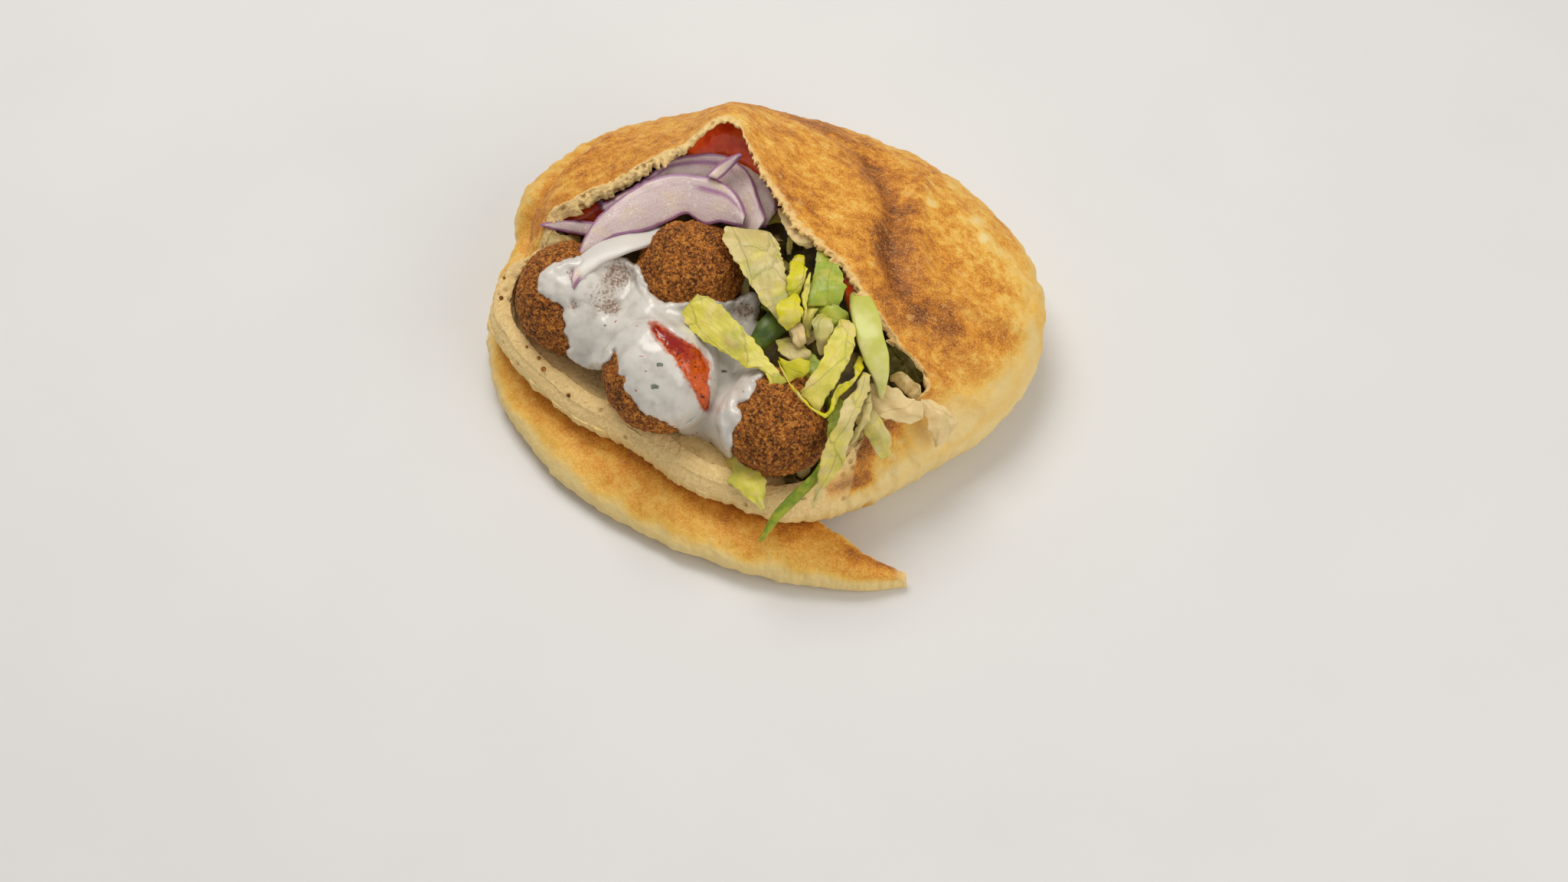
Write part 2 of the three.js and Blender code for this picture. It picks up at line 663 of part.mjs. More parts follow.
const pita = new THREE.Group();
pita.position.set(-MIDDLE[0], -MIDDLE[1], 0);

// A copy of a solid with its surface moved outwards.
function swollen(solid, by) {
  const geometry = geometryOf(solid);
  geometry.computeVertexNormals();
  const [p, n] = [geometry.attributes.position, geometry.attributes.normal];
  for (let i = 0; i < p.count; i++)
    p.setXYZ(i, p.getX(i) + by * n.getX(i), p.getY(i) + by * n.getY(i), p.getZ(i) + by * n.getZ(i));
  return manifoldOf(geometry);
}

// Pieces are placed in order. Each is the outer surface of its shapes joined, cut back from
// what the pieces before it keep clear around them.
const kept = [];
function place(name, look, shapes, clear = shapes.map((one) => swollen(one, GAP).add(one))) {
  let solid = mainBody(shapes.reduce((all, one) => all.add(one)));
  for (const other of kept) if (!solid.intersect(other).isEmpty()) solid = mainBody(solid.subtract(other));
  const mesh = new THREE.Mesh(geometryOf(solid), look);
  mesh.name = name;
  pita.add(mesh);
  kept.push(...clear);
}

place("pita_bread", looks.bread, [pocketShell(), crescent()]);
for (const [name, centre, radius, squash] of FALAFELS) {
  const clear = falafel(centre, radius + ROUGH_GAP, squash, 2);
  place(name, looks.falafel, [falafel(centre, radius, squash)], [clear]);
}
for (const [name, line, width, thick] of TOMATOES)
  place(name, looks.tomato, [band({ line, width, thick, cup: 1.5 })]);
for (const [name, line, width] of ONIONS)
  place(name, looks.onion, [band({ line, width, thick: SLICE, cup: 0.8 })]);
place("chilli_sauce", looks.chilli, [lobe(CHILLI, SAUCE - 1.6, SAUCE + 0.8, 9)]);
place("yoghurt_sauce", looks.sauce, SAUCE_LOBES.map((one) => lobe(one, -3, SAUCE)));
for (const [name, line, width, thick] of CUCUMBERS)
  place(name, name.endsWith("dark") ? looks.skin : looks.cucumber, [band({ line, width, thick, cup: 1 })]);
place("spring_onion", looks.herb, [band(SPRING_ONION)]);
place("salad", looks.lettuce, [saladCore(), ...SHREDS.map((shred) => band({ thick: SHRED, ...shred }))]);

export default pita;
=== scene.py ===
"""A falafel pita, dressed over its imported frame: a toasted pocket of bread with a torn mouth,
the strip cut from its edge, four craggy falafels, yoghurt and chilli sauce, red onion,
tomato, cucumber and shredded lettuce.

Shapes are worked out in working millimetres, the coordinates of the tables below, and are
moved over the middle of the whole and into metres when a mesh is made.
"""

import json
import math

import bpy
import numpy as np
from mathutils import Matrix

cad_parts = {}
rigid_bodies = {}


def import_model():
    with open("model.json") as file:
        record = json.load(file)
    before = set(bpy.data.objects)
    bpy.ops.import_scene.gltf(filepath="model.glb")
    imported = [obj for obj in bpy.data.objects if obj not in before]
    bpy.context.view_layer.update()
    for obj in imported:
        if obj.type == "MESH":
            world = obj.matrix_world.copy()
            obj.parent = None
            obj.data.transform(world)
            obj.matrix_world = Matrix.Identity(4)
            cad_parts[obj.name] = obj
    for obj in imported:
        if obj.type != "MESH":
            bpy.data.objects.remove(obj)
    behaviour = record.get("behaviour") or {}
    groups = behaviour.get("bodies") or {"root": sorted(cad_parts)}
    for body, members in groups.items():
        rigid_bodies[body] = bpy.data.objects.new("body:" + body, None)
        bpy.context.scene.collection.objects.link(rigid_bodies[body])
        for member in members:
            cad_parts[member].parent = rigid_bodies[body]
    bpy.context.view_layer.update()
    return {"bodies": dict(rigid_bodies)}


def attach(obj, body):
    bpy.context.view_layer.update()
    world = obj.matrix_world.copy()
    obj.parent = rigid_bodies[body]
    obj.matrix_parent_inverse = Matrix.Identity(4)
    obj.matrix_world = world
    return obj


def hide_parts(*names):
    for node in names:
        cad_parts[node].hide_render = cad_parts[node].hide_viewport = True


bl_info = {
    "name": "Falafel Pita",
    "version": (1, 0, 0),
    "blender": (4, 5, 0),
    "location": "3D View > Sidebar > Pita",
    "description": "Bakes, fries and fills a falafel pita",
    "category": "Add Mesh",
}

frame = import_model()
BODY = next(iter(frame["bodies"]))

MM = 0.001
MIDDLE = np.array([-0.63, -5.65, 0.0])  # middle of the whole in working millimetres

# ---------------------------------------------------------------- driving shapes
POCKET_CENTRE = np.array([-19.0, -18.0])  # middle of the mouth, seen from above
BREAD_FLOOR = 6.5  # thickness of the bottom layer
BREAD_TOP = 5.2  # thickness of the top layer
RIM_BULGE = 13.0  # how far the rim rolls out beyond the flat base
LIP_LIFT = 12.5  # height of the lip's underside on the strip
LIP_DROP = 1.6  # how far the outside of the lower lip sags
LIP_THICKER = 3.2  # how much thicker the bread of the lower lip is
LEDGE_BLEND = 4.0  # millimetres over which the lip's ledge of crumb joins the inner skin
BED_HEIGHT = 21.0  # height of the salad bed in the middle of the mouth

# Stations round the pocket: degrees, rim radius, rim height, mouth radius, mouth height.
POCKET = [
    (0, 103, 16, 49.5, 55),
    (12, 110, 18, 43.5, 59),
    (22, 111.5, 18, 38.5, 62),
    (36, 109, 18, 35, 65),
    (52, 105.5, 17, 37, 68.5),
    (68, 101, 16, 43, 72.5),
    (82, 97, 16, 54, 75.5),
    (98, 95, 17, 46.5, 69),
    (117, 93, 20, 46.5, 61.5),
    (134, 88, 20, 53.5, 52.5),
    (143, 77.5, 20, 63, 43),
    (150, 75, 20, 67, 34),
    (156, 73, 20, 70, 30),
    (166, 70, 21, 67.5, 29),
    (176, 62.5, 21.5, 60, 28.5),
    (196, 49, 21, 46.5, 27.5),
    (234, 37.5, 20.5, 35, 26.5),
    (280, 51.5, 20.5, 49, 26.5),
    (294, 62, 20.5, 59.5, 27),
    (305, 66, 20, 63, 28.5),
    (315, 68.5, 18, 60.5, 31.5),
    (328, 74, 18, 61.5, 34),
    (338, 81, 17, 68, 35.5),
    (344, 87, 17, 71.5, 38.5),
    (350, 93.5, 16, 60, 47),
]

# What lies round only part of the pocket: where it begins and is full, ebbs and ends, in degrees.
ON_STRIP = (150, 182, 292, 326)  # the rim is lifted by the strip under it
LOWER_LIP = (150, 172, 306, 324)  # the mouth has a lower lip, where its tent ends
LEDGE = (160, 174, 300, 318)  # the lower lip is a ledge of crumb inside
TORN = (74, 96, 320, 342)  # the mouth's edge is torn, so it is all crumb

# Creases of the crust: points seen from above, depth and half width.
CREASES = [
    ([(-74, 18), (-73, 30), (-66, 44), (-56, 54)], 3.2, 4.5),
]

# The cut strip: stations along its outer edge from the hinge to the free tip,
# as x, y, width of the strip, thickness; and its section as share across, share up.
STRIP = [
    (-78, 31, 4, 5),
    (-89.5, 9, 15, 12),
    (-87, -11, 22, 13),
    (-74, -37.5, 27, 13),
    (-54, -59, 30, 13),
    (-20, -79, 30, 12.5),
    (9, -88, 23, 12),
    (28, -89.5, 13, 10),
    (43, -87, 3, 5),
]
STRIP_SECTION = [
    (0.2, 0), (0.45, 0), (0.8, 0), (0.97, 0.12), (1, 0.5), (0.96, 0.8),
    (0.75, 0.95), (0.45, 1), (0.2, 0.93), (0.05, 0.72), (0, 0.42), (0.09, 0.1),
]

# The edge of the mouth by degrees: thickness there, how far the crumb is torn beyond the
# crust, how ragged the tear is, and how far the crust stops short.
MOUTH_EDGE = [
    (0, 2.1, 1.0, 4.6, 0.6), (60, 1.8, 0.8, 3.6, 0.4), (76, 1.8, 0.6, 3.0, 0.6),
    (88, 2.4, 1.0, 2.6, 1.6), (105, 3.6, 1.2, 2.8, 4.0), (125, 4.2, 1.4, 3.0, 4.8),
    (138, 4.4, 1.8, 2.8, 3.8), (147, 5.0, 1.0, 1.4, 0.8), (160, 5.4, 0.4, 0.5, 0),
    (200, 5.8, 0, 0.35, 0), (260, 6.2, 0, 0.35, 0), (300, 5.6, 0, 0.5, 0),
    (318, 5.2, 0.2, 0.9, 0), (332, 4.0, 0.2, 0.7, 0), (346, 2.1, 1.0, 4.2, 0.6)]

# Folds of the crust beyond its shape: points seen from above, lift, half width.
FOLDS = [
    ([(-79, 16), (-77, 24), (-76, 30), (-74, 34), (-68, 41), (-62, 48), (-57, 56)], -3.4, 1.7),
    ([(-72, 20), (-71, 28), (-66, 36), (-58, 43), (-50, 52)], 1.6, 3.5),
    ([(34, 42), (39.5, 26), (40.5, 15), (38.5, 3), (41, -10)], -3.0, 4.0),
    ([(49, 36), (47, 18), (45.5, 6), (49, -6), (58, -11), (69, -13), (80, -11)], 2.0, 3.0),
    ([(44, -16), (54, -22), (68, -26)], 1.4, 5.0),
    ([(12, 46), (26, 28), (28, 8), (31, -10)], 0.9, 7),
    ([(56, 2), (64, -3), (70, -8)], -0.6, 2.5),
    ([(58, 14), (68, 8), (76, 2)], -0.5, 2.5),
    ([(60, 28), (70, 20)], 0.5, 3),
    ([(20, 52), (30, 46), (38, 44)], -0.7, 2.5),
    ([(50, -44), (55, -50), (58, -54)], -1.2, 2.0),
    ([(40, -50), (44, -56), (47, -60)], -0.8, 1.6),
]

# How toasted the crust is beyond its even gold: points seen from above, amount, reach.
TOASTED = [
    ([(14, 58), (23, 54), (34.5, 42), (39.5, 26), (40.5, 14), (38, 3), (41, -11)], 0.23, 6.5),
    ([(34.5, 42), (39.5, 26), (40.5, 14), (38, 3)], 0.14, 3.5),
    ([(38, 3), (41, -11), (47, -18), (56, -22)], 0.16, 5),
    ([(47, -17), (58, -20), (66, -21), (78, -18)], 0.14, 5),
    ([(3, 24), (12, 3), (24, -12), (34, -24)], 0.08, 9),
    # Browner along the flap's edge by the left crease: the flap's toast, and painted shade that makes the
    # crease look deep and sharp.
    ([(-72, 24), (-68, 34), (-61, 42), (-52, 52)], 0.12, 3),
    ([(-60, 26), (-47, 32), (-35, 40), (-20, 48)], 0.07, 7),
    ([(58, 26), (62, 10), (66, 2), (74, -4)], -0.02, 9),
    ([(76, 14), (82, 0), (84, -8)], -0.08, 6),
    ([(68, 16), (68.6, 17)], -0.6, 1.5),
    ([(67, 25), (66, 23)], -0.35, 2.2),
    ([(52, 28), (51, 24)], -0.2, 3),
    ([(-82, 14), (-82, 32), (-74, 44), (-64, 54)], -0.16, 5),
    ([(86, -14), (76, -28), (62, -42), (47, -55), (34, -63), (22, -70)], -0.26, 7),
    ([(28, -58), (30.5, -54.5), (34.5, -51.5), (38.5, -49.5)], 0.36, 3.0),
    ([(43, -47), (50, -46), (58, -42)], -0.16, 5),
]
# Where the far side is blotched with cream and the lower lip is toasted: points, amount, reach.
BLOTCHED = [([(50, 36), (58, 22), (66, 10), (76, -2)], 1, 11)]
LIP_TOAST = [([(20, -68), (25.5, -64.5), (31, -62)], 0.8, 2.0)]

# Falafels: node, centre, radius, squash along z.
FALAFELS = [
    ("falafel_left", (-58.5, -4, 35.5), 18.2, 0.98),
    ("falafel_back", (-22.6, -1.5, 45), 16.5, 0.98),
    ("falafel_front", (-32, -35.7, 39.3), 17.2, 0.97),
    ("falafel_right", (4, -51.5, 37), 16.4, 1),
]

# Crumbs of falafel on the lower lip: place and radius.
CRUMBS = [(-68, -24.5, 27, 0.8), (-60, -33.5, 25.9, 0.7), (-82.5, 1.5, 29, 0.7),
          (-69.5, -21, 28, 0.6), (-73.5, -17, 28.3, 0.5), (-82, 9, 29.5, 0.5)]

# The sauces are drawn on a sheet that leans back by this much from upright and rests on the
# falafels, as outlines across it and up it.
SHEET_TILT = math.radians(56)
SAUCE_DEPTH = 3.0
SAUCE_DIP = 43.0  # height of the sauce off the sheet between the falafels
SAUCE_BLEND = 9.0  # millimetres over which it joins their swell
SAUCE_RIM = -1.0  # depth inside the outline at which its two faces meet
SAUCE_DIVE = -1.2  # how far over the crust they meet: less than 0, so under its crags
# Where the hollows between the falafels are filled higher: place on the sheet, reach, more.
SAUCE_HILLS = [((-45, 5), 7, 8), ((-35, 11), 7, 9), ((-24, 9), 6, 5), ((-13, -5), 8, 12),
               ((-11, -19), 7, 17)]
SAUCE_EDGE = [
    (-57, 28), (-61, 27), (-65, 25), (-67.5, 23), (-68, 19), (-66, 16.5), (-63, 15.5), (-61, 14),
    (-60, 10.5), (-60, 6.5), (-59, 3.5), (-58.5, 1), (-59.5, -1), (-57, -3), (-53.5, -4.5),
    (-49, -4.5), (-45.5, -2), (-44.5, -0.5), (-43, -3.5), (-42.5, -6.5), (-40.5, -8), (-40.5, -12),
    (-37.5, -16), (-35.5, -18.5), (-30.5, -21), (-27, -23), (-23.5, -25), (-19, -27),
    (-15.5, -27), (-13.5, -29.5), (-11, -32), (-10, -31), (-9.5, -25.5), (-8, -22.5), (-7, -19),
    (-7.5, -16.5), (-4.5, -14.5), (-3, -11.5), (-3, -9.5), (0, -7.5), (-0.5, -3.5), (-2, 1),
    (-1.5, 6), (-3, 9.5), (-2.5, 13.5), (-3.5, 17), (-7.5, 15.5), (-12.5, 14.5), (-17, 14.5),
    (-24, 14), (-28.5, 13.5), (-33, 15), (-35.5, 17.5), (-37, 21), (-38.5, 25), (-42, 27.5),
    (-47, 28.5), (-52, 28.5)]
CHILLI_EDGE = [
    (-33.5, 8), (-32.5, 4.5), (-29.5, 1), (-26, -3), (-24, -6.5), (-21.5, -10), (-19.5, -14),
    (-17.5, -18), (-16.5, -14), (-17, -10), (-16.5, -6), (-17, -3.5), (-19, -1), (-22.5, 1.5),
    (-27.5, 4), (-30.5, 6.5)]
# Where the yoghurt is only smeared over the crust: place on the sheet, reach, how much less.
SMEARS = [((-44, 24), 6, 1.1), ((-45.5, 13), 3, 0.8), ((-51, 15), 7, 0.75), ((-58.5, 23.5), 3, 0.8),
          ((-58, 13.5), 2, 0.8), ((-6, 12), 5, 1.0), ((-33, -17), 4, 0.4)]
# Flakes of herb: the corners of one, and the place on the sheet and size of each.
HERB_FLAKE = [(-0.99, 0.45), (0, 0.675), (0.99, 0.27), (-0.81, -0.54), (0.09, -0.36), (0.9, -0.45)]
HERB_FLECKS = [(-30.5, -5, 1.0), (-32, -11.5, 1.2), (-48, 7.5, 0.4), (-12, -6.5, 0.9)]

# Onion slices: node, upper edge, lower edge.
ONIONS = [
    ("onion_front",
     [(-57.5, 1, 50), (-55, 7, 52.5), (-51.5, 12, 55), (-46.5, 16, 57.5), (-41, 19.5, 59.5),
      (-35, 22.5, 61), (-28, 24, 62), (-21.5, 23.5, 62), (-16, 22.5, 62), (-11, 20, 61),
      (-7.5, 16, 60), (-5.5, 11, 58.5)],
     [(-57, 0, 49), (-51.5, 3.5, 51), (-46.5, 6, 53), (-43, 7, 53.5), (-37, 8.5, 53.5),
      (-30.5, 10.5, 54.5), (-24.5, 13.5, 55.5), (-21.5, 12.5, 54.5), (-18, 10.5, 54),
      (-13.5, 10.5, 55), (-9.5, 9, 55.5), (-6.5, 7.5, 56.5)]),
    ("onion_middle",
     [(-50.5, 22, 50), (-44.5, 24, 53), (-39, 25.5, 56), (-34, 28, 59), (-29.5, 30.5, 61),
      (-24, 31, 62.5), (-17.5, 31.5, 63), (-12, 31, 62.5), (-8, 29, 61.5), (-4.5, 25.5, 60),
      (-2, 18, 58.5), (0.5, 10.5, 57)],
     [(-49, 20, 48), (-44, 19, 49), (-39, 21, 51), (-34, 22, 52.5), (-28, 23, 54),
      (-21.5, 22, 54.5), (-16, 20, 54), (-12, 16, 53), (-10, 13, 52), (-8, 10, 51.5),
      (-5.5, 7, 51.5), (-2.5, 6, 54)]),
    ("onion_point",
     [(-18, 21.5, 64), (-15, 24.5, 65), (-11.5, 26.5, 66.5), (-8.5, 27.5, 67.5), (-7, 27, 68)],
     [(-14, 20.5, 63.5), (-12, 22.5, 63.5), (-9.5, 24.5, 65), (-8, 25.5, 66.5),
      (-6.5, 26.5, 67.5)]),
    ("onion_left",
     [(-70.5, 20.5, 42), (-66.5, 21, 43), (-61.5, 20.5, 44), (-57, 19.5, 45), (-51.5, 18, 46)],
     [(-70, 20, 41.5), (-66, 18.5, 41.5), (-61, 17, 42), (-57, 15.5, 42.5), (-53, 14, 43.5)]),
    ("onion_upright",
     [(-56, 32, 46.5), (-54.5, 28.5, 47), (-52.5, 24.5, 47.5), (-50.5, 21, 48)],
     [(-54, 31.5, 46), (-51.5, 28, 46.5), (-49.5, 24.5, 47.5), (-48.5, 20.5, 47.5)]),
    ("onion_back",
     [(-12, 32.5, 60.5), (-7, 31.5, 60), (-2.5, 29.5, 59), (0.5, 25, 57.5), (3.5, 19.5, 56),
      (4, 15, 55)],
     [(-12, 27, 56), (-9, 24, 54.5), (-6.5, 20, 53), (-4.5, 16.5, 52), (-2.5, 12, 51),
      (0.5, 11.5, 51.5)]),
    ("onion_sauced",
     [(-58.2, -11, 52.6), (-58, -7, 53.2), (-56, -0.5, 52.4), (-51, 4.5, 51.8), (-45, 8.5, 51.5),
      (-37, 10, 51), (-31, 12, 51.5)],
     [(-57.4, -13, 52), (-55.4, -10.3, 53), (-53, -8, 54), (-48, -3.8, 54.2),
      (-40.5, 0, 54), (-34.5, 3, 53.5), (-30, 6.5, 52.5)]),
]

# Purple lines inside the slices: share from the middle up, from and to as shares of the length.
ONION_LINES = {
    "onion_front": (0.45, 0.6, 1.0), "onion_middle": (0.62, 0.1, 0.75), "onion_back": (0.2, 0, 0.6)}

# Bands: points, and widths at the ends and evenly between; a tomato's has its node first.
TOMATOES = [
    ("tomato_top", [(-24, 33, 58.5), (-13, 37.5, 62.5), (-4, 34, 60.5), (3, 27, 55)], [7, 14, 12, 8]),
    ("tomato_left", [(-63, 22, 38), (-57, 24, 41), (-50, 27, 43), (-44, 30, 42)], [5, 8, 9, 6]),
    ("tomato_right", [(27, -2, 48), (27, -9, 52), (28, -15, 50), (30, -21, 44)], [5, 7, 7, 5]),
]
CUCUMBER_PALE = (  # its two edges
     [(27, -12, 50), (25.5, -19, 53.5), (26, -25.5, 55), (27.5, -33.5, 54.5),
      (29.5, -39.5, 52.5), (32, -44, 50), (33.5, -46, 46.5), (34.5, -47, 44)],
     [(30, -12, 50), (32.5, -19, 53.5), (34.5, -25.5, 55), (35.5, -32.5, 55.5), (37, -38, 53.5),
      (37, -41, 52), (36, -46, 46.5), (35, -47, 44)])
CUCUMBER_DARK = ([(-3, -31, 47), (2, -26, 50), (7, -20, 50), (12, -14, 46)], [5, 8, 8, 5])
SPRING_ONION = (
    [(20, -48, 45), (21, -56, 44.5), (20, -62, 43), (18, -67, 40), (15, -71, 37), (10, -75, 34),
     (4, -80, 30.5), (-1, -86, 25.5)],
    [2.4, 2.6, 2.6, 2.6, 3, 3.4, 3, 1.0],
)

LEAF = 0.4  # thickness of a leaf
LONG_LEAF = 24.0  # a piece shorter than this is crinkled less
KINDS = ("pale", "yellow", "bright", "green", "white", "dark", "amber")
# How far a kind's leaves go into green and bright, paler, and soaked by sauce, if they differ.
LEAF_TINTS = {"white": (0, 0.6, 0.5), "amber": (0, 0.6, 0.5), "dark": (0, 0.12, 0), "green": (0.2, 0.3, 0)}

# Cut leaves that show: kind of leaf, one edge, the other edge.
LEAVES = [
    ("pale",
     [(-11.5, 6, 58.5), (-13, 0.5, 59.5), (-9, -7, 60), (-5.5, -14, 59.5), (-2.5, -19.5, 58.5),
      (1.5, -24.5, 57), (5.5, -29, 55.5), (8, -32, 54), (11, -34.5, 51.5)],
     [(0, 5, 58), (4, 0, 59.5), (5.5, -6, 60.5), (6.5, -12.5, 60.5), (7, -18.5, 59),
      (8.5, -23.5, 58), (10, -28, 56.5), (12, -30, 55.5), (12.5, -33, 52.5)]),
    ("bright",
     [(9, -20, 59), (5, -23.5, 60.5), (3.5, -27, 60.5), (4.5, -30, 59), (7, -32, 57)],
     [(9.5, -20, 59), (11, -23.5, 60.5), (11.5, -27, 60.5), (11.5, -30, 59), (9, -31, 57.5)]),
    ("bright",
     [(9, -4.5, 58), (7.5, -11, 60.5), (7, -16, 61), (6.5, -19, 60), (7.5, -20.5, 58)],
     [(12, -4.5, 58), (12.5, -11, 60.5), (13, -15, 61.5), (12, -18.5, 60.5), (10, -20.5, 58)]),
    ("yellow",
     [(13.5, -14, 61.5), (12.5, -18.5, 62), (11, -22.5, 61.5), (12, -26.5, 60), (11.5, -29, 58)],
     [(14, -14, 61.5), (14, -18.5, 62), (13, -23.5, 60.5), (13, -26.5, 60), (12.5, -29, 58)]),
    ("green",
     [(16, -2.5, 58.5), (15.5, -9, 60), (14.5, -15, 60.5), (13.5, -20, 60), (13, -22, 59),
      (13, -23.5, 57.5)],
     [(17, -2.5, 58.5), (22.5, -9.5, 59.5), (24, -15, 60.5), (24.5, -19, 61), (23.5, -22, 59),
      (22.5, -23.5, 57.5)]),
    ("pale",
     [(20, -22.5, 58), (20, -24.5, 57), (20.5, -26.5, 55.5), (21, -28, 54)],
     [(22.5, -22.5, 58), (22.5, -24.5, 57), (22.5, -26.5, 55.5), (22, -28, 54)]),
    ("yellow",
     [(12.5, -24, 57), (11.5, -27, 57), (11, -29, 56), (12, -30.5, 54.5), (12.5, -32, 53)],
     [(16.5, -24, 57), (15, -26.5, 57), (14.5, -29, 56), (14, -30.5, 54.5), (14, -32, 53)]),
    ("pale",
     [(16.5, -25, 56), (14.5, -29, 58), (14, -31.5, 58), (15, -34.5, 56.5), (16, -36.5, 54),
      (17, -37.5, 52)],
     [(18, -25, 56), (20.5, -29, 58), (21, -32, 58), (19.5, -34.5, 56.5), (18, -36.5, 54),
      (17.5, -37.5, 52)]),
    ("white",
     [(7.5, -30.5, 56), (8, -32, 56), (9, -34.5, 55), (10.5, -35.5, 53)],
     [(11, -29, 57), (12, -31, 57), (12.5, -33.5, 56), (12.5, -34.5, 54)]),
    ("pale",
     [(3.5, -30, 49), (4.5, -34, 50.5), (6, -37, 51), (9, -39, 51), (12, -39, 49)],
     [(7.5, -29, 49.5), (10.5, -32, 52), (13, -34.5, 52.5), (14, -37.5, 52), (14, -39, 49)]),
    ("yellow",
     [(22.5, -27, 56), (21, -32.5, 58), (19.5, -36.5, 58.5), (18, -40, 58), (16, -44, 57),
      (13.5, -48, 55), (11.5, -51, 53), (11, -52, 52), (13.5, -53.5, 50.5)],
     [(25.5, -27.5, 56), (27, -33.5, 57.5), (26.5, -37.5, 57.5), (25, -42, 56.5),
      (23, -46, 55.5), (21, -50, 54), (18.5, -52, 52), (17, -54.5, 50.5), (16.5, -56, 48.5)]),
    ("bright",
     [(4.5, -40.5, 55), (7.5, -42.5, 56.5), (11, -42, 56.5), (13.5, -43, 55.5), (13.5, -45, 54)],
     [(5.5, -42.5, 53.5), (6.5, -46, 54), (7.5, -47.5, 52.5), (9.5, -46.5, 53), (12, -46, 53)]),
    ("yellow",
     [(-19.5, -18, 57), (-15.5, -20.5, 57.5), (-11.5, -24.5, 57.5), (-7, -30, 57),
      (-3, -34.5, 56), (0.5, -39.5, 55), (3.5, -43.5, 54), (5.5, -46, 53.5), (7, -47.5, 52.5)],
     [(-25, -23, 53.5), (-22, -27.5, 52.5), (-17.5, -32.5, 52), (-12, -36.5, 52.5),
      (-8.5, -39.5, 52.5), (-5.5, -43, 53), (-1.5, -43.5, 54), (0.5, -46, 53.5), (1.5, -50, 50.5)]),
    ("bright",
     [(4.5, -42.5, 56), (7.5, -49.5, 55.5), (10.5, -53, 54), (14, -56.5, 52.5),
      (18, -58.5, 51.5), (19.5, -57, 52.5), (21, -50.5, 53.5), (24, -49, 54.5), (26.5, -48, 55),
      (26.5, -42, 53), (28, -37, 51)],
     [(4, -42.5, 56), (7, -49.5, 55.5), (10, -53.5, 53.5), (14, -57, 52), (18, -59.5, 50.5),
      (21, -57, 52.5), (22, -53, 51.5), (25, -51, 53), (27, -48.5, 54.5), (29.5, -42.5, 52.5),
      (29, -37.5, 50.5)]),
    ("pale",
     [(29.5, -43.5, 52), (27, -48.5, 52.5), (24, -54, 52), (21.5, -60.5, 50), (18.5, -64.5, 47),
      (17, -69, 43.5), (16, -72.5, 40), (15, -76, 36), (14.5, -78.5, 32)],
     [(31.5, -44.5, 51.5), (31, -49.5, 51.5), (29.5, -54.5, 52), (27, -59.5, 50.5),
      (25.5, -64, 47.5), (24, -69, 43.5), (22, -72, 40.5), (18, -74.5, 37), (15, -78, 32)]),
    ("pale",
     [(30, -50, 49), (28.5, -54, 48.5), (28.5, -57.5, 47), (27, -59, 44.5), (25.5, -61.5, 40)],
     [(31.5, -49.5, 49.5), (32, -53, 49), (31, -57.5, 47), (29.5, -58.5, 45),
      (26.5, -60.5, 40.5)]),
    ("white",
     [(31.5, -43.5, 46), (36, -44, 46.5), (39, -45, 46), (41.5, -46.5, 45), (44, -47.5, 43.5),
      (46.5, -47, 41.5), (47.5, -48.5, 39)],
     [(31.5, -47.5, 43), (32.5, -50.5, 42), (35, -52.5, 41), (38.5, -53, 40.5), (42, -53, 39.5),
      (45.5, -52, 38), (47.5, -50.5, 37.5)]),
    ("amber",
     [(37.5, -39, 44), (41.5, -38.5, 45), (44, -41, 45), (46.5, -43, 44), (47, -44.5, 42)],
     [(37.5, -40.5, 43), (39.5, -41.5, 43), (41.5, -44.5, 42.5), (43.5, -46, 42),
      (45.5, -46, 41)]),
    ("white",
     [(47, -42.5, 36), (47.5, -46, 36.5), (48.5, -49.5, 36), (49.5, -52, 33.5),
      (51, -52.5, 29.5), (52, -52.5, 25.5)],
     [(50, -42.5, 36), (53, -45, 37), (56.5, -47.5, 37.5), (58, -50, 34.5), (55.5, -51.5, 30),
      (52.5, -52, 26)]),
    ("white",
     [(4, 12, 60), (5.5, 5.5, 61.5), (7.5, -0.5, 61.5), (10, -2.5, 60), (13, -2.5, 58.5)],
     [(6.5, 12, 60), (10, 6.5, 62), (12.5, 0.5, 62), (14.5, -1.5, 61), (15, -2, 59)]),
]

# Shreds deeper down: points, widths, kind of leaf.
SHREDS = [
    ([(-12, -54, 19), (-8, -61, 28), (-4, -68, 31), (0, -77, 28.5)], [8, 11, 9, 1.5], "yellow"),
    ([(30, -18, 36), (36, -26, 43), (42, -31, 42), (47, -36, 36)], [6, 7, 7, 5], "dark"),
    ([(26, -22, 40), (31, -30, 46), (37, -35, 44), (43, -40, 38)], [5, 7, 6, 4], "dark"),
    ([(-48, 24, 34), (-43, 27, 48), (-35, 31, 54), (-26, 33, 52)], [4, 5, 5, 4], "dark"),
    ([(-66, 20, 28), (-67, 17, 38), (-64, 14, 41), (-58, 16, 38)], [5, 6, 5, 4], "amber"),
    ([(16, -46, 38), (21, -52, 46), (22, -58, 45), (20, -64, 38)], [4, 6, 6, 4], "green"),
    ([(12, -20, 50), (16, -24, 55), (21, -26, 56), (25, -26, 52)], [4, 6, 6, 4], "green"),
    ([(10, -34, 46), (14, -39, 51), (16, -45, 51), (15, -50, 47)], [4, 5, 5, 4], "green"),
    ([(24, -48, 42), (30, -54, 44), (34, -58, 40), (36, -61, 33)], [5, 6, 6, 4], "pale"),
]
# The heap on the salad bed: its middle seen from above, its height and its reach.
HEAP_CENTRE, HEAP_HEIGHT, HEAP_REACH = np.array([16.0, -27.0]), 47.0, 24.0

